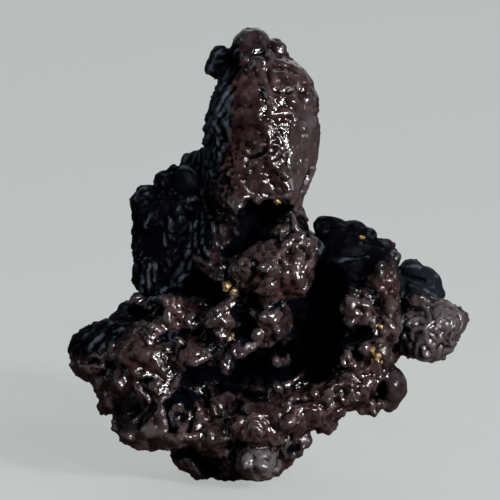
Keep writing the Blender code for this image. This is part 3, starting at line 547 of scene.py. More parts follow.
# ridges (height over 0) and creases (under 0) drawn on the skin that faces the eye:
# height, half width, then across and up of each point along it
strokes = {
    "finger": [
        (0.35, 0.8, (3.2, 70.2), (5, 69.2), (6.4, 67.6), (7.3, 65.8), (7.9, 63.4), (8.2, 61)),
        (0.3, 0.6, (2.4, 69), (4.4, 68.4), (5.8, 67), (6.7, 65.2), (7.1, 62.5)),
        (-0.35, 0.7, (1.4, 67.7), (2.8, 68), (4.2, 67.4)),
        (-0.35, 0.7, (1.8, 64.1), (3.2, 63.8), (5.2, 64.3), (6, 64)),
        (0.2, 0.7, (1.5, 66), (3, 66.8), (5, 66.4), (6.2, 65)),
        (0.2, 0.7, (3, 63.2), (4.6, 62.8), (5.8, 61.8)),
        (0.5, 0.5, (-2.5, 68.6), (-1.9, 69.3), (-0.9, 69.4), (-0.2, 68.7), (-0.1, 67.8)),
        (0.6, 0.8, (-1.2, 68.6), (-0.6, 66.8), (-0.1, 65.2), (0.3, 63.6), (0.9, 62)),
        (-0.4, 0.6, (-0.4, 64), (0.4, 61.8), (0, 60)),
        (0.35, 0.5, (0.5, 70.4), (1, 69.2), (0.6, 68), (1.2, 66.6)),
        (0.3, 0.45, (0.6, 57), (0.8, 55.8), (0.6, 54.6)),
        (0.3, 0.4, (1.8, 56.6), (2.5, 55.9), (2.8, 54.8), (2.6, 53.6)),
        (0.08, 0.4, (5.2, 61), (5.8, 57), (6, 53), (5.6, 49.5)),
        (0.08, 0.4, (6.6, 62), (7.2, 57.5), (7.2, 53.5), (6.6, 50)),
        (0.08, 0.4, (4.2, 52), (4.6, 49), (5.2, 46.5)),
        (0.5, 0.4, (7.9, 51.5), (7, 49.2), (6.3, 47.4)),
        (-0.3, 0.35, (7.3, 51), (6.3, 48.8), (5.9, 47.4)),
        (0.4, 0.4, (4.2, 44.9), (5.6, 44.2), (6.8, 42.8), (7.4, 41.2), (7.3, 40.2)),
        (0.4, 0.4, (3.3, 42.4), (4.8, 41.4), (6.4, 40.6), (7.8, 40), (8.8, 39.4), (9.1, 38.4),
         (8.6, 37.6)),
    ],
    "flank": [
        (0.4, 0.35, (-8.9, 60), (-7.6, 63), (-6.3, 65.2)),
        (0.4, 0.35, (-9.4, 57.8), (-7.8, 60.2), (-6.6, 62.8), (-4.9, 65.6)),
        (0.4, 0.35, (-9.6, 55.6), (-8.2, 57.8), (-7.2, 60), (-5.8, 62), (-4.4, 64.4)),
        (0.35, 0.35, (-8.4, 59.6), (-7.5, 58), (-6.8, 56), (-6.6, 54.6)),
        (0.35, 0.35, (-7.2, 59.8), (-6, 58), (-5.6, 56)),
    ],
    "bulge": [
        (0.3, 0.4, (7.4, 38.5), (7.6, 36.5), (6.6, 35.3), (5.8, 34.4)),
        (-0.7, 0.6, (-2.6, 31.3), (-1.8, 32), (-0.4, 33.2), (-0.3, 34)),
        (-0.7, 0.6, (2.3, 36.2), (2.7, 34.4), (2.6, 32.2), (3, 30.6)),
        (-0.8, 0.6, (5.7, 38.5), (6.6, 38.1), (7, 37.3), (6.6, 36.6)),
        (-0.6, 0.6, (-1.8, 36.6), (-1.6, 35), (-1.9, 33.6), (-3, 32.8)),
        (0.35, 0.5, (2.2, 37.3), (3.6, 38.6), (4.6, 39.6)),
        (0.3, 0.4, (-1.6, 34.6), (-0.4, 35.2), (1, 35.4), (1.8, 34.8), (1.6, 34)),
    ],
    "shoulder": [
        (0.45, 0.35, (-20.9, 31.6), (-21.2, 33.4), (-21, 35.3)),
        (0.45, 0.35, (-20.1, 31.2), (-20.2, 33.4), (-19.9, 35.4)),
        (0.45, 0.35, (-19.2, 31), (-19.2, 33.2), (-18.9, 35.4)),
        (0.45, 0.35, (-18.3, 33), (-18.1, 35.6)),
        (0.4, 0.35, (-15.4, 32.6), (-14.6, 34), (-13.6, 35.4), (-12.8, 36.8), (-12.3, 37.8)),
        (0.4, 0.35, (-14.2, 32.9), (-13.2, 34), (-12.4, 35.2), (-12.1, 36.4)),
        (0.5, 0.45, (-17.4, 30.6), (-16.6, 31.4), (-15.2, 32), (-13.6, 32.2), (-12.4, 32.5)),
        (0.35, 0.35, (-12.6, 30.4), (-11.6, 31.4), (-10.4, 32)),
        (0.3, 0.3, (-15, 51.1), (-13.6, 51.5), (-12.2, 51.2), (-11.3, 50.4)),
        (0.45, 0.4, (-10.6, 48), (-10.2, 46.2), (-9.6, 44.6), (-8.9, 43), (-8.3, 41.4), (-8, 39),
         (-6.6, 36)),
        (0.4, 0.35, (-11, 44.8), (-11.2, 43), (-11.6, 41), (-11.4, 39.2), (-10.8, 37.4)),
        (0.4, 0.35, (-10.4, 45), (-10.2, 42.6), (-10.4, 40.4), (-10, 38.4), (-9.2, 36.8)),
        (0.35, 0.35, (-12.2, 42), (-12.2, 40), (-12.4, 38.4)),
        (0.35, 0.35, (-13.8, 45.8), (-12.6, 46.4), (-11.4, 46.6), (-10.4, 46.2)),
        (0.35, 0.35, (-14, 45), (-12.8, 44.8), (-11.6, 45.2)),
        (0.35, 0.35, (-17, 42.6), (-16.6, 40.6), (-16.4, 38.6)),
        (0.35, 0.35, (-16, 43.5), (-15.4, 42), (-15.6, 40)),
        (0.35, 0.35, (-6.8, 47), (-6.2, 45.8), (-6.6, 44.4), (-6.9, 43.2)),
        (0.35, 0.35, (-5.9, 47), (-5.5, 45.4), (-5.7, 43.6)),
        (0.6, 0.45, (-11.6, 36.8), (-10.4, 36), (-9, 35.2), (-7.6, 34.4), (-6.9, 34)),
    ],
    "left": [
        (0.6, 0.45, (-23.2, 28), (-21.6, 28.8), (-20, 29.2), (-18, 29.7), (-16, 29.8), (-15, 29.7)),
        (0.5, 0.4, (-30.2, 22), (-28.8, 23.6), (-27.2, 25.2), (-26, 26)),
        (0.5, 0.4, (-28.8, 21.4), (-27.4, 23), (-26.2, 24.4), (-25.2, 25.4)),
        (0.5, 0.4, (-27, 21.2), (-25.8, 22.6), (-24.6, 24), (-23, 24.7), (-21.6, 24.6), (-20.8, 23.8)),
        (0.45, 0.4, (-25.4, 21.2), (-25, 22.4), (-24.6, 23.2)),
        (0.45, 0.4, (-23.2, 21.4), (-22.6, 22.6), (-21.8, 23.2), (-21, 23.6)),
        (0.4, 0.5, (-30, 18.6), (-28.4, 19), (-26.6, 18.9), (-25.4, 18.6)),
        (0.5, 0.4, (-20.6, 15.2), (-19.4, 14.4), (-18.8, 13.2), (-19.2, 12), (-20.4, 10.8),
         (-21.8, 9.8)),
        (0.5, 0.5, (-24.8, 9), (-23.4, 7.9), (-22, 7.2), (-20.8, 6), (-19, 5.6), (-17, 5.7),
         (-15, 5.9), (-11, 6.3)),
        (0.4, 0.4, (-26.8, 12.2), (-26, 10.8), (-24.8, 9.6)),
        (0.4, 0.4, (-27.6, 15.8), (-26.4, 14.2), (-25.8, 12.8)),
    ],
    "rim": [
        (0.5, 0.4, (-13.4, 8), (-12.9, 9.4), (-12.4, 10.8), (-12, 12)),
        (0.4, 0.4, (-12.4, 12), (-11.4, 12.6), (-10.6, 12), (-10.3, 11.2)),
        (0.35, 0.35, (-9.9, 13.6), (-8.8, 12.6), (-8.2, 11), (-8, 9.6)),
        (0.35, 0.35, (-9.2, 13.8), (-8, 13), (-7.2, 11.4), (-7.2, 9.8)),
        (0.3, 0.5, (-5.2, 9.2), (-3.4, 10.6), (-1.2, 10.8), (1, 11.2), (2.2, 10.6)),
        (0.4, 0.5, (2.6, 9.6), (3.6, 8.6), (4.4, 7.6)),
        (-0.5, 0.45, (-6.6, 8), (-6, 9.6), (-5.6, 11)),
        (-0.35, 0.45, (-4.6, 7), (-3, 6.6), (-1.6, 6.6), (0.6, 6.8)),
        (0.35, 0.35, (-7.4, 4.4), (-6.4, 2.6), (-5.2, 1)),
        (0.35, 0.35, (-6.6, 4.8), (-5.8, 3), (-5, 1.6)),
        (0.35, 0.35, (-7.6, 3), (-6.8, 1.8), (-5.8, 0.9)),
        (0.4, 0.4, (0, 2.4), (1, 3.6), (1.8, 4.8), (2.3, 5.6)),
        (0.3, 0.4, (-3.6, 1.8), (-3.2, 3.2), (-2.4, 4.2)),
        (0.6, 0.6, (1.6, 1.9), (3, 3), (4.4, 4.4), (5.8, 5.8), (7.2, 7), (8, 7.6)),
    ],
    "right": [
        (0.4, 0.35, (10.4, 21.6), (11.2, 20.2), (12, 18.6)),
        (0.4, 0.35, (11.4, 21.9), (12.2, 20.6), (12.8, 19.2)),
        (0.4, 0.35, (12.6, 22), (13.4, 20.8), (13.9, 19.4)),
        (0.4, 0.35, (9.6, 20.6), (10.4, 19.4), (10.8, 18)),
        (0.45, 0.5, (17.8, 27.2), (19.6, 26.8), (20.8, 25.6), (21.3, 23.8), (21.4, 22), (21.6, 20.6)),
        (0.5, 0.45, (13.2, 17.4), (14.6, 17.6), (16, 18.2), (17.4, 19), (18.4, 19.6)),
        (0.35, 0.4, (14.2, 15.8), (15.8, 15.6), (17.4, 15.8)),
        (0.4, 0.35, (8.6, 40.4), (10, 40.9), (11.6, 40.8), (13, 41)),
        (0.5, 0.4, (9.2, 36.6), (10.6, 36.4), (12.2, 36.2), (13.8, 36.4), (15.6, 36.6), (17, 36.8)),
        (0.5, 0.4, (11.6, 32.6), (13, 33.2), (14.6, 33.4), (16, 33.2), (17.2, 33.6)),
        (0.5, 0.5, (15.6, 39), (17.6, 38.2), (19.4, 37.7), (21, 37)),
        (0.4, 0.35, (13.4, 32.8), (14, 31.8), (14.8, 31)),
        (0.5, 0.4, (12.4, 31.4), (13.4, 30.8), (15, 30.9), (16.4, 31.4)),
    ],
    "far": [
        (0.35, 0.4, (22.4, 35), (24.6, 35.2), (26.6, 34.6), (28.2, 33.6)),
        (-0.5, 0.4, (22.2, 34.2), (23.8, 33.5), (25.6, 32.8), (27.6, 32.3)),
        (0.35, 0.4, (24, 32), (26.4, 31.2), (28.6, 29.8), (30.6, 28.6), (32.4, 27.2)),
        (-0.3, 0.35, (27.6, 31.5), (28.6, 30.2), (29.8, 29.8)),
        (0.4, 0.4, (30.2, 25.8), (30.8, 24.6), (30.6, 23.2), (30.2, 22.4)),
        (0.4, 0.4, (23.6, 25.6), (24.4, 26.4), (25.4, 26.6)),
    ],
}


def zoneWeight(seen, zone, fade=0.35):
    # 1 inside an ellipsoid, falling to 0 across a band of fade times its size
    across, up, away, halfWide, halfTall, halfDeep, roll = zone
    c, s = math.cos(math.radians(roll)), math.sin(math.radians(roll))
    px, py, pz = seen[:, 0] - across, seen[:, 1] - up, seen[:, 2] - away
    qx, qy, qz = (px * c + py * s) / halfWide, (py * c - px * s) / halfTall, pz / halfDeep
    far = np.sqrt(qx ** 2 + qy ** 2 + qz ** 2)
    return smoothStep((1 + fade * 0.5 - far) / fade)


def inSight(seen):
    # 1 on the skin that the eye sees first, falling to 0 for what lies 2 mm or more behind it
    i = np.clip(np.rint((seen[:, 0] - gridLow[0]) / gridStep).astype(int), 0, depths.shape[0] - 1)
    j = np.clip(np.rint((seen[:, 1] - gridLow[1]) / gridStep).astype(int), 0, depths.shape[1] - 1)
    nearest = depths[i, j]
    return np.where(nearest >= farAway, 1.0, smoothStep((nearest + 2.0 - seen[:, 2]) / 1.0))


def strokeHeight(seen, stroke):
    # a stroke's height times one less the square of distance over half width, to the power of 1.5
    height, halfWidth, *path = stroke
    path = np.array(path, float)
    low, high = path.min(0) - halfWidth, path.max(0) + halfWidth
    near = np.flatnonzero(((seen[:, :2] > low) & (seen[:, :2] < high)).all(1))
    distance = np.full(len(near), 9.0)
    spot = seen[near, :2]
    for a, b in zip(path[:-1], path[1:]):
        t = np.clip((spot - a) @ (b - a) / ((b - a) @ (b - a)), 0, 1)[:, None]
        distance = np.minimum(distance, np.linalg.norm(a + t * (b - a) - spot, axis=1))
    out = np.zeros(len(seen))
    out[near] = height * np.maximum(1 - (distance / halfWidth) ** 2, 0) ** 1.5
    return out


def knobs(seen, size, seed, wander=0.35):
    # round knobs packed side by side: over each random point a quarter circle that rises from the edge
    # it shares with its neighbour, times a height that goes by the point's own number
    p = seen / size
    p = p + wander * np.stack([smoothNoise(p * 0.8, seed + 10 + q) for q in range(3)], 1)
    first, second, name = nearestSeeds(p, seed)
    edge = np.clip((second - first) / 0.55, 0, 1)
    return np.sqrt(1 - (1 - edge) ** 2) * (0.55 + 0.45 * name)


def folds(seen, size, seed, along, stretch, wander=0.5):
    # sharp-topped ridges that run one way: noise stretched along it, its size taken from one
    along = np.array(along, float) / np.linalg.norm(along)
    side = seen @ along
    p = (seen - side[:, None] * along * (1 - 1 / stretch)) / size
    p = p + wander * smoothNoise(p * 0.5, seed + 3)[:, None]
    return 1 - 2.2 * np.abs(smoothNoise(p, seed))


def billows(seen, size, seed, wander=0.4):
    # soft round-topped swellings with sharp creases between: the size of noise, its sign left out
    p = seen / size
    p = p + wander * np.stack([smoothNoise(p * 0.7, seed + 5 + q) for q in range(3)], 1)
    return 2.4 * np.abs(smoothNoise(p, seed)) - 0.6


# the zones painted black as shade, on the tops and left sides that the front lamps don't reach, and how
# far each zone keeps the skin from being roughened
darkZones = ["flank", "shoulder", "leftTop", "rightTop", "knobSide", "farTop"]
stillZones = {
    "finger": 0.6, "smooth": 0.7, "farTop": 0.6, "knob": 0.5, "greyKnob": 0.7, "dimple": 0.7, "lip": 0.7,
    "veil": 0.9, "dome": 1.0, "sideDome": 1.0, "lobe": 0.4, "rightTop": 0.5,
}
# the finer shapes of the skin, with sizes and heights in mm
detail = {
    "swellings": [(6.5, 0.8, 1), (3.4, 0.45, 2)],    # size, height, seed
    "knobs": [(3.6, 0.85), (1.9, 0.42)],             # size, height
    # sizes of the patches without knobs, the ragged edge of the black, and the breaks in the ridges
    "patch": 7.5, "edge": 1.6, "broken": 1.6,
    # size, seed, direction, stretch, and how far each wanders
    "steep": (1.6, 40, (0.45, 1, 0.1), 2.6), "net": (1.1, 50, (0.5, 0.7, 0.2), 1.6),
    "level": (2.6, 45, (1, -0.15, 0.1), 2.2), "flow": (1.5, 60, (0.05, 1, 0.0), 4.0),
    "creased": (1.7, 85, (0.3, 1, 0.2), 1.4, 0.9),
    # size, seed, and how far each wanders
    "melted": (3.0, 80, 0.6), "runny": (1.2, 90, 0.9), "glassy": (2.0, 70, 0.5),
    "dented": (2.9, 95, 0.7), "beaded": (1.3, 97, 0.9), "wrinkled": (1.6, 99, 1.0),
}


def zoneWeights(points):
    # every zone's weight at each point, then the ones painted black as shade added up and ragged at
    # their edge, and how calm the skin is
    weight = {name: zoneWeight(points, zone) for name, zone in zones.items()}
    dark = np.clip(sum(weight[name] for name in darkZones), 0, 1)
    weight["dark"] = smoothStep(dark + 2 * smoothNoise(points / detail["edge"], 33) * dark * (1 - dark))
    weight["calm"] = np.clip(sum(weight[name] * share for name, share in stillZones.items()), 0, 0.92)
    return weight


def addSwellings(points, faces, weight, sight):
    # broad noise, then round knobs that come and go, both strongest where the eye doesn't see
    free = 1 - weight["calm"]
    swell = sum(smoothNoise(points / size, seed) * height for size, height, seed in detail["swellings"])
    points = points + pointNormals(points, faces) * (swell * (1 - 0.75 * sight) * free)[:, None]
    patchy = 0.3 + 0.7 * smoothStep(0.5 + 1.3 * smoothNoise(points / detail["patch"], 140))
    hidden = (1 - 0.8 * sight) * patchy
    (largeSize, largeHeight), (smallSize, smallHeight) = detail["knobs"]
    large = (knobs(points, largeSize, 20) - 0.6) * largeHeight * hidden
    small = (knobs(points, smallSize, 30) - 0.6) * smallHeight * (0.1 + 0.9 * hidden)
    normals = pointNormals(evenOut(points, faces, 2, 0.5), faces)
    return points + normals * ((large + small) * free)[:, None]


def addStrokes(points, faces, sight):
    # the drawn ridges and creases added up, times noise so that none of them runs on at one height
    drawn = sum(strokeHeight(points, stroke) for group in strokes.values() for stroke in group)
    broken = np.clip(0.9 + 0.6 * smoothNoise(points / detail["broken"], 7), 0.3, 1.3)
    normals = pointNormals(evenOut(points, faces, 2, 0.5), faces)
    return points + normals * (drawn * sight * broken)[:, None]


def addFolds(points, faces, weight):
    # the finest shapes: each zone's weight times its own folds and billows, added up
    steep, net = folds(points, *detail["steep"]), folds(points, *detail["net"])
    level, flow = folds(points, *detail["level"]), folds(points, *detail["flow"])
    melted = 0.34 * billows(points, *detail["melted"]) + 0.2 * folds(points, *detail["creased"])
    melted = melted + 0.14 * billows(points, *detail["runny"])
    glassy = 0.416 * billows(points, *detail["glassy"]) + 0.182 * smoothNoise(points, 75)
    beaded = (0.1 + 0.07 * weight["beads"]) * billows(points, *detail["beaded"])
    dented = 0.16 * billows(points, *detail["dented"]) + beaded
    dark, brown, finger = weight["dark"], 1 - weight["dark"], weight["finger"]
    upright = dark * (1 - weight["rightTop"]) * (1 - 0.85 * weight["dome"])
    upright = upright * (1 - 0.7 * weight["sideDome"]) * (1 - 0.7 * weight["farTop"])
    rough = (1 - 0.8 * weight["smooth"]) * (1 - 0.6 * weight["knob"]) * (1 - 0.4 * weight["upper"])
    height = upright * (steep * (0.24 + 0.18 * weight["flank"]) + net * 0.24)
    height += weight["rightTop"] * (level * 0.22 + net * 0.1)
    height += brown * finger * (flow * 0.05 + rough * dented)
    height += brown * (1 - weight["calm"]) * (1 - weight["farFront"]) * melted
    height += weight["farFront"] * glassy
    height += weight["wrinkled"] * billows(points, *detail["wrinkled"]) * 0.4
    normals = pointNormals(evenOut(points, faces, 1, 0.5), faces)
    return points + normals * height[:, None]


weight, sight = zoneWeights(points), inSight(points)
points = addSwellings(points, faces, weight, sight)
points = addStrokes(points, faces, sight)
points = addFolds(points, faces, weight)
print("detail added")


def openness(seen, normals):
    # the mean of the field's value over the distance, taken 2 and 5 mm out along the normal
    near = np.clip(sampleField(seen + normals * 2.0) / 2.0, 0, 1)
    far = np.clip(sampleField(seen + normals * 5.0) / 5.0, 0, 1)
    return np.clip(near * 0.5 + far * 0.5, 0, 1)


def grownWeight(seen, shapes, bend):
    # 1 in and just round any of the shapes, in the bent coordinates that they were built with
    place = np.rint(np.clip((seen - gridLow) / gridStep, 0, np.array(field.shape) - 1)).astype(int)
    bent = seen + stone["bend"][bend] * np.stack([part[tuple(place.T)] for part in wander], 1)
    total = np.zeros(len(seen))
    for across, up, away, halfWide, halfTall, halfDeep, roll in shapes:
        grown = (across, up, away, halfWide * 1.1, halfTall * 1.1, halfDeep * 1.1, roll)
        total = np.maximum(total, zoneWeight(bent, grown, 0.2))
    return total


def hollowWeight(seen):
    # 1 on the walls of the hollows and pits, less where an inner lump stands in one: where shade is
    # painted
    inside = np.maximum(grownWeight(seen, hollows, "hollows"), grownWeight(seen, seatedPits, "pits"))
    return np.minimum(inside, 1 - grownWeight(seen, innerLumps, "inner"))


def newPiece(name, verts, faces, material):
    # a smooth mesh of its own from arrays of points and faces, which stays with the stone's body
    mesh = bpy.data.meshes.new(name)
    verts = np.asarray(verts, np.float32)
    faces = np.asarray(faces, np.int32)
    sides = faces.shape[1]
    mesh.vertices.add(len(verts))
    mesh.vertices.foreach_set("co", verts.ravel())
    mesh.loops.add(faces.size)
    mesh.loops.foreach_set("vertex_index", faces.ravel())
    mesh.polygons.add(len(faces))
    mesh.polygons.foreach_set("loop_start", np.arange(len(faces), dtype=np.int32) * sides)
    mesh.polygons.foreach_set("use_smooth", np.ones(len(faces), bool))
    mesh.update(calc_edges=True)
    mesh.validate()
    piece = bpy.data.objects.new(name, mesh)
    bpy.context.scene.collection.objects.link(piece)
    mesh.materials.append(material)
    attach(piece, "root")
    return piece


def setScalar(piece, name, values):
    # one number at each point, which the material reads by its name
    layer = piece.data.attributes.new(name, "FLOAT", "POINT")
    layer.data.foreach_set("value", np.asarray(values, np.float32))


def thinOut(piece, keep, share, steps):
    # the Decimate modifier takes faces away where keep is low, down to a share of them, and is applied
    group = piece.vertex_groups.new(name="thin")
    level = np.clip(np.rint((1 - keep) * steps), 0, steps).astype(int)
    for value in range(1, steps + 1):
        group.add(np.flatnonzero(level == value).tolist(), value / steps, "REPLACE")
    thin = piece.modifiers.new("thin", "DECIMATE")
    thin.ratio = share
    thin.vertex_group = group.name
    thin.vertex_group_factor = 1.0
    current = bpy.context.evaluated_depsgraph_get()
    mesh = bpy.data.meshes.new_from_object(piece.evaluated_get(current))
    old = piece.data
    piece.modifiers.clear()
    piece.data = mesh
    mesh.name = piece.name
    bpy.data.meshes.remove(old)
    piece.vertex_groups.clear()


# the skin's finish: its colours, noises, roughness and bump
look = {
    # the first black below is painted shade; the blue-grey beside it is a painted sheen
    "shadeBlack": (0.0006, 0.001, 0.0022, 1), "ridgeSheen": (0.043, 0.055, 0.068, 1),
    "umber": (0.0122, 0.0056, 0.006, 1), "dust": (0.062, 0.0365, 0.0385, 1),
    # the first colour on the next line, a near-black red-brown, is painted shade for the creases
    "creaseShade": (0.0024, 0.0009, 0.0008, 1), "ember": (0.031, 0.0135, 0.0115, 1), "emberMost": 0.65,
    # a greyer tone, partly the stone's own and partly a painted sheen
    "greyAndSheen": (0.068, 0.06, 0.062, 1),
    "patches": (130, 3), "flecks": (520, 4), "grain": (1300, 3),    # scale and layers of each noise
    "sootyRough": 0.62, "mattRough": 0.38, "glossRough": 0.2, "coatRough": 0.04, "ior": 1.06,
    "bumpMost": 0.9, "bumpHeight": 0.0003,
}


def skinMaterial():
    # brown and black mixed by the numbers at the points, with painted shade in the black and in the
    # near-black of creases and a painted sheen on the black's crests, under a clear coat where it is
    # glossy
    material = bpy.data.materials.new("stoneSkin")
    material.use_nodes = True
    nodes, links = material.node_tree.nodes, material.node_tree.links
    shader = nodes["Principled BSDF"]
    place = nodes.new("ShaderNodeTexCoord")

    def noise(scale, layers):
        node = nodes.new("ShaderNodeTexNoise")
        node.inputs["Scale"].default_value = scale
        node.inputs["Detail"].default_value = layers
        links.new(place.outputs["Object"], node.inputs["Vector"])
        return node.outputs["Fac"]

    def ramp(source, low, high, start=0.0, end=1.0):
        node = nodes.new("ShaderNodeMapRange")
        node.inputs["From Min"].default_value, node.inputs["From Max"].default_value = low, high
        node.inputs["To Min"].default_value, node.inputs["To Max"].default_value = start, end
        links.new(source, node.inputs["Value"])
        return node.outputs["Result"]

    def mix(amount, a, b):
        node = nodes.new("ShaderNodeMix")
        node.data_type = "RGBA"
        links.new(amount, node.inputs["Factor"])
        for value, socket in ((a, node.inputs[6]), (b, node.inputs[7])):
            if isinstance(value, tuple):
                socket.default_value = value
            else:
                links.new(value, socket)
        return node.outputs[2]

    def scalar(name):
        node = nodes.new("ShaderNodeAttribute")
        node.attribute_name = name
        return node.outputs["Fac"]

    patches = mix(ramp(noise(*look["patches"]), 0.35, 0.65), look["umber"], look["dust"])
    brown = mix(ramp(noise(*look["flecks"]), 0.4, 0.66), look["umber"], patches)
    brown = mix(ramp(scalar("ember"), 0.0, 1.0, 0.0, look["emberMost"]), brown, look["ember"])
    # a greyer tone, partly a painted sheen
    brown = mix(scalar("greyAndSheen"), brown, look["greyAndSheen"])
    # painted shade: creases and broad dips turn near black
    brown = mix(scalar("crease"), brown, look["creaseShade"])
    # the black is painted shade, with a painted blue-grey sheen on its crests
    black = mix(scalar("crestSheen"), look["shadeBlack"], look["ridgeSheen"])
    # brown mixed to black, where the black stands for painted shade
    links.new(mix(scalar("brownLessShade"), black, brown), shader.inputs["Base Color"])
    rough = nodes.new("ShaderNodeMath")
    rough.operation = "ADD"
    rough.use_clamp = True
    links.new(ramp(scalar("hollowShade"), 0.0, 1.0, 0.0, look["sootyRough"]), rough.inputs[0])
    links.new(ramp(scalar("gloss"), 0.0, 1.0, look["mattRough"], look["glossRough"]), rough.inputs[1])
    links.new(rough.outputs["Value"], shader.inputs["Roughness"])
    links.new(ramp(scalar("gloss"), 0.1, 0.9, 0.0, 1.0), shader.inputs["Coat Weight"])
    shader.inputs["Coat Roughness"].default_value = look["coatRough"]
    shader.inputs["IOR"].default_value = look["ior"]
    bump = nodes.new("ShaderNodeBump")
    links.new(ramp(scalar("grain"), 0.0, 2.0, 0.0, look["bumpMost"]), bump.inputs["Strength"])
    bump.inputs["Distance"].default_value = look["bumpHeight"]
    links.new(noise(*look["grain"]), bump.inputs["Height"])
    links.new(bump.outputs["Normal"], shader.inputs["Normal"])
    links.new(bump.outputs["Normal"], shader.inputs["Coat Normal"])
    return material


# how much of the greyer tone, partly a painted sheen, each zone has
greyAndSheenZones = {"farFront": 0.6, "lobe": 1.0, "smooth": 0.3, "lip": 0.3, "finger": -0.04}


def skinLooks(points, faces, weight):
    # values at each point: brown where open and black as painted shade in closed places, the dark zones
    # and hollows; greyer in some zones, partly a painted sheen, and a painted sheen on broad crests;
    # redder in the patches; near black as painted shade in creases; a painted blue-grey sheen on the
    # small crests of the black
    normals = pointNormals(points, faces)
    eased = pointNormals(evenOut(points, faces, 6, 0.5), faces)
    opened = openness(evenOut(points, faces, 4, 0.5), eased)
    relief = ((evenOut(points, faces, 7, 0.6) - points) * normals).sum(1)     # under 0 on small crests
    valley = ((evenOut(points, faces, 40, 0.7) - points) * normals).sum(1)    # over 0 in broad dips
    bent = points + 0.5 * np.stack([smoothNoise(points / 1.4, 130 + i) for i in range(3)], 1)
    # painted shade: the walls of the hollows and pits, and most of the dimple, are painted black and
    # lose their gloss
    hollowShade = np.maximum(hollowWeight(points), 0.8 * weight["dimple"])
    # painted shade: the brown share falls towards black where the skin is closed in, in the dark zones
    # and on the hollow walls
    brownLessShade = np.clip(1 - weight["dark"] * 0.97, 0, 1) * smoothStep((opened - 0.12) / 0.5)
    brownLessShade = np.maximum(brownLessShade * (1 - 0.98 * hollowShade), weight["sliver"])
    brownLessShade = brownLessShade * (1 - 0.5 * weight["knob"]) * (1 - 0.45 * weight["greyKnob"])
    sleek = np.clip(weight["upper"] + weight["smooth"] + weight["greyKnob"] + weight["veil"], 0, 1)
    # painted sheen: a blue-grey on the small crests of the black, more of it on the far top and on the
    # flank's ridges, stands for reflected light
    crestSheen = smoothStep((-relief - 0.08) / 0.15) * smoothStep(0.65 + 1.3 * smoothNoise(points / 2.2, 150))
    crestSheen = crestSheen + 0.13 * weight["farTop"] + 0.45 * weight["flank"] * smoothStep((0.03 - relief) / 0.12)
    # a greyer tone in some zones, partly painted sheen, and painted sheen on broad crests where valley
    # is under 0
    greyAndSheen = sum(weight[name] * share for name, share in greyAndSheenZones.items())
    return {
        "brownLessShade": brownLessShade,
        "gloss": (1 - 0.97 * np.maximum(weight["dark"], weight["sheenless"])) * (1 - hollowShade),
        "grain": 1 - 0.75 * sleek + 0.7 * (weight["farFront"] + weight["lobe"]),
        "hollowShade": hollowShade,
        "crestSheen": np.clip(crestSheen, 0, 1) * (1 - hollowShade),
        "ember": np.clip(sum(zoneWeight(bent, patch, 0.8) for patch in embers), 0, 1),
        "greyAndSheen": np.clip(greyAndSheen + 0.25 * smoothStep(-valley / 0.6), 0, 1),
        # painted shade in creases and broad dips
        "crease": np.clip(smoothStep(relief / 0.12) + smoothStep((valley - 0.02) / 0.45), 0, 1),
    }


# fewer faces where the eye can't see them or they look away from it: the least weight, the share of
# faces that is left, and the number of steps
thinning = {"least": 0.12, "share": 0.55, "steps": 8}
looks = skinLooks(points, faces, weight)
flatFoot = toFrame(points)
flatFoot[:, 2] = np.maximum(flatFoot[:, 2], 0)
skin = newPiece("stone_skin", flatFoot, faces, skinMaterial())
for name, values in looks.items():
    setScalar(skin, name, values)
facing = smoothStep(0.7 - pointNormals(points, faces)[:, 2])
keep = np.clip(thinning["least"] + (1 - thinning["least"]) * sight * facing, 0, 1)
thinOut(skin, keep, thinning["share"], thinning["steps"])
settled = np.zeros(len(skin.data.vertices) * 3, np.float32)
skin.data.vertices.foreach_get("co", settled)
settled[2::3] = np.maximum(settled[2::3], 0)    # thinning may move a point under the foot
skin.data.vertices.foreach_set("co", settled)
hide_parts("stone")
print("skin finished", sum(len(p.vertices) - 2 for p in skin.data.polygons), "triangles")

# gold grains caught in the skin: across, up, half width, half height, roll
grains = [
    (-6.2, 32, 0.75, 1, -35), (-5.2, 31.2, 0.75, 0.7, 0), (-4.7, 30.7, 0.4, 0.4, 0),
    (-6.6, 32.5, 0.4, 0.5, 0), (2, 45.9, 0.65, 0.5, 0), (-5.4, 23.9, 0.45, 0.4, 0),
    (-9.8, 24.6, 0.4, 0.35, 0), (-5.9, 23.4, 0.3, 0.3, 0), (17.6, 21.5, 0.6, 0.75, 20),
    (18.4, 20.6, 0.6, 0.8, -20), (18.8, 22.2, 0.4, 0.4, 0), (17.7, 19.9, 0.35, 0.4, 0),
    (18.9, 19.7, 0.3, 0.35, 0), (19, 25.3, 0.5, 0.45, 0), (18.2, 25.6, 0.3, 0.3, 0),
    (15.9, 40, 0.65, 0.35, 0), (12.7, 13.4, 0.35, 0.35, 0), (12.3, 12.7, 0.25, 0.25, 0),
]
gold = {
    # the grid's step and margin and how far each grain is sunk, in mm, and its depth as a share
    "step": 0.11, "margin": 0.35, "sunk": 0.1, "depth": 0.8,
    # the height of the bumps and the sizes of the coarse and fine ones, in mm, and the fine one's share
    "bumps": 0.13, "coarse": 0.7, "fine": 0.35, "fineShare": 0.6,
    # the finish, with the scale and layers of the noise that mixes its two colours
    "dim": (0.1, 0.05, 0.014, 1), "bright": (0.42, 0.29, 0.12, 1), "scale": 1800, "layers": 4,
    "roughness": 0.3, "metal": 0.25, "bump": 0.5, "bumpHeight": 0.0001,
}


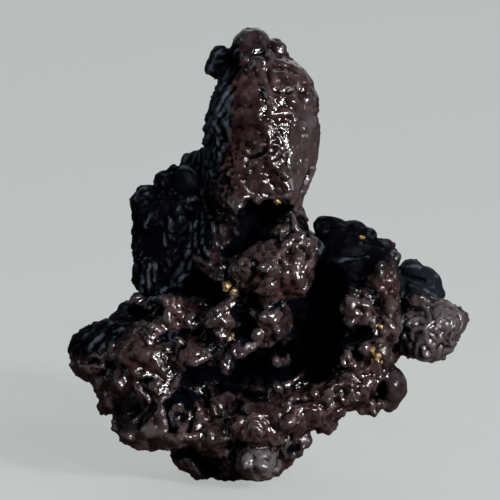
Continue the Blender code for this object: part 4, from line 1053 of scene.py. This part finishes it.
def addGrains():
    # each grain is an ellipsoid's near-distance on a small grid, less folded noise that roughens it
    step = gold["step"]
    allPoints, allFaces, total = [], [], 0
    for across, up, halfWide, halfTall, roll in grains:
        half = max(halfWide, halfTall)
        away = depthAt(depths, gridLow, gridStep, across, up) + gold["sunk"]
        start = np.array((across, up, away)) - half - gold["margin"]
        count = int(2 * (half + gold["margin"]) / step) + 2
        x, y, z = np.meshgrid(*(start[:, None] + np.arange(count) * step), indexing="ij")
        deep = half * gold["depth"]
        distance = lumpDistance(x, y, z, (across, up, away, halfWide, halfTall, deep, roll))
        spots = np.stack([x, y, z], -1).reshape(-1, 3)
        rough = billows(spots, gold["coarse"], 110)
        rough = rough + gold["fineShare"] * billows(spots, gold["fine"], 120)
        distance = distance - gold["bumps"] * rough.reshape(distance.shape)
        grain, quads = surfaceNet(distance, start, step)
        allPoints.append(grain)
        allFaces.append(quads + total)
        total += len(grain)
    grainPoints, grainFaces = toFrame(np.concatenate(allPoints)), np.concatenate(allFaces)
    newPiece("gold_grains", grainPoints, grainFaces, grainMaterial())
    print("gold grains", total, "points")


def grainMaterial():
    # two golds mixed by noise, which also roughens the surface
    material = bpy.data.materials.new("paleGold")
    material.use_nodes = True
    nodes, links = material.node_tree.nodes, material.node_tree.links
    shader, place = nodes["Principled BSDF"], nodes.new("ShaderNodeTexCoord")
    noise, tones = nodes.new("ShaderNodeTexNoise"), nodes.new("ShaderNodeValToRGB")
    noise.inputs["Scale"].default_value = gold["scale"]
    noise.inputs["Detail"].default_value = gold["layers"]
    links.new(place.outputs["Object"], noise.inputs["Vector"])
    links.new(noise.outputs["Fac"], tones.inputs["Fac"])
    tones.color_ramp.elements[0].position, tones.color_ramp.elements[1].position = 0.36, 0.62
    tones.color_ramp.elements[0].color = gold["dim"]
    tones.color_ramp.elements[1].color = gold["bright"]
    links.new(tones.outputs["Color"], shader.inputs["Base Color"])
    shader.inputs["Roughness"].default_value = gold["roughness"]
    shader.inputs["Metallic"].default_value = gold["metal"]
    bump = nodes.new("ShaderNodeBump")
    bump.inputs["Strength"].default_value = gold["bump"]
    bump.inputs["Distance"].default_value = gold["bumpHeight"]
    links.new(noise.outputs["Fac"], bump.inputs["Height"])
    links.new(bump.outputs["Normal"], shader.inputs["Normal"])
    return material


addGrains()

# the eye: the middle of the picture as seen in mm, then how far off it is and how much it takes in, in
# metres, and its sensor's width in mm
view = {"middle": (-2.475, 37.95, 0.0), "far": 1.0, "span": 0.0825, "sensor": 36.0}
floorLook = {
    "half": 4.0, "base": (0.14, 0.15, 0.147, 1), "roughness": 0.7,
    "glow": (0.95, 1, 0.99, 1), "glowStrength": 0.41,
    "mirrored": (0.09, 0.055, 0.05, 1),    # what the gloss mirrors: dim and warm
}
room = {
    "front": (0.03, 0.022, 0.021, 1), "behind": (0.3, 0.33, 0.36, 1), "seen": (0.78, 0.82, 0.81, 1),
    "turn": (-0.1, 0.9),                   # how far back the pale tone starts, and where it is full
}


def addCamera():
    camera = bpy.data.cameras.new("eye")
    camera.sensor_width = view["sensor"]
    camera.lens = view["sensor"] * view["far"] / view["span"]
    target = toFrame(np.array([view["middle"]]))[0]
    eye = bpy.data.objects.new("eye", camera)
    bpy.context.scene.collection.objects.link(eye)
    back = (0.0, -math.cos(eyeLean), math.sin(eyeLean))
    eye.location = [target[i] + back[i] * view["far"] for i in range(3)]
    eye.rotation_euler = (math.pi / 2 - eyeLean, 0, 0)
    camera.clip_start, camera.clip_end = 0.01, 50
    bpy.context.scene.camera = eye


def addFloor():
    material = bpy.data.materials.new("paleFloor")
    material.use_nodes = True
    nodes, links = material.node_tree.nodes, material.node_tree.links
    shader, dim = nodes["Principled BSDF"], nodes.new("ShaderNodeBsdfDiffuse")
    pick = nodes.new("ShaderNodeMixShader")
    shader.inputs["Base Color"].default_value = floorLook["base"]
    shader.inputs["Roughness"].default_value = floorLook["roughness"]
    shader.inputs["Emission Color"].default_value = floorLook["glow"]
    shader.inputs["Emission Strength"].default_value = floorLook["glowStrength"]
    dim.inputs["Color"].default_value = floorLook["mirrored"]
    links.new(nodes.new("ShaderNodeLightPath").outputs["Is Camera Ray"], pick.inputs["Fac"])
    links.new(dim.outputs["BSDF"], pick.inputs[1])
    links.new(shader.outputs["BSDF"], pick.inputs[2])
    links.new(pick.outputs["Shader"], nodes["Material Output"].inputs["Surface"])
    half = floorLook["half"]
    corners = [(-half, -half, 0), (half, -half, 0), (half, half, 0), (-half, half, 0)]
    mesh = bpy.data.meshes.new("floor")
    mesh.from_pydata(corners, [], [(0, 1, 2, 3)])
    mesh.materials.append(material)
    floor = bpy.data.objects.new("floor", mesh)
    bpy.context.scene.collection.objects.link(floor)


def addLight(name, spot, size, radiance, colour):
    # a round soft lamp turned towards the middle of the stone, its power its brightness times its area
    # times pi
    light = bpy.data.lights.new(name, "AREA")
    light.shape, light.size, light.color = "DISK", size, colour
    light.energy = radiance * math.pi * math.pi * size * size / 4
    lamp = bpy.data.objects.new(name, light)
    lamp.location = spot
    towards = np.array(stoneMiddle) - np.array(spot)
    tilt = math.acos(-towards[2] / np.linalg.norm(towards))
    lamp.rotation_euler = (tilt, 0, math.atan2(towards[1], towards[0]) - math.pi / 2)
    bpy.context.scene.collection.objects.link(lamp)


def addWorld():
    # pale behind the stone and dim in front of it; the eye itself sees one pale tone
    world = bpy.data.worlds.new("room")
    bpy.context.scene.world = world
    world.use_nodes = True
    nodes, links = world.node_tree.nodes, world.node_tree.links
    place, split = nodes.new("ShaderNodeTexCoord"), nodes.new("ShaderNodeSeparateXYZ")
    links.new(place.outputs["Generated"], split.inputs["Vector"])
    turn = nodes.new("ShaderNodeMapRange")
    turn.inputs["From Min"].default_value, turn.inputs["From Max"].default_value = room["turn"]
    links.new(split.outputs["Y"], turn.inputs["Value"])
    around, pick = nodes.new("ShaderNodeMix"), nodes.new("ShaderNodeMix")
    around.data_type = pick.data_type = "RGBA"
    around.inputs[6].default_value, around.inputs[7].default_value = room["front"], room["behind"]
    links.new(turn.outputs["Result"], around.inputs["Factor"])
    pick.inputs[7].default_value = room["seen"]
    links.new(around.outputs[2], pick.inputs[6])
    links.new(nodes.new("ShaderNodeLightPath").outputs["Is Camera Ray"], pick.inputs["Factor"])
    links.new(pick.outputs[2], nodes["Background"].inputs["Color"])


stoneMiddle = (0, 0, 0.035)
# each lamp in metres: where it hangs, how wide it is, how bright, and its colour
lamps = {
    "keyLight": ((0.45, -0.53, 0.28), 0.12, 165.0, (1, 1, 1)),
    "smallLight": ((0.16, -0.64, 0.42), 0.06, 135.0, (1, 1, 1)),
    "lowLight": ((0.6, -0.5, 0.06), 0.05, 300.0, (1, 1, 1)),
    "softLight": ((0.62, -0.4, 0.28), 0.55, 3.6, (1, 0.97, 0.99)),
    "sideLight": ((-0.75, -0.2, 0.3), 0.5, 1.4, (0.75, 0.88, 1)),
    "backLight": ((0.1, 0.85, 0.6), 0.8, 0.7, (1, 1, 1)),
}
addCamera()
addFloor()
addWorld()
for name, (spot, size, radiance, colour) in lamps.items():
    addLight(name, spot, size, radiance, colour)
bpy.context.scene.view_settings.view_transform = "Standard"    # plain tones, as a camera keeps them
print("stage set")
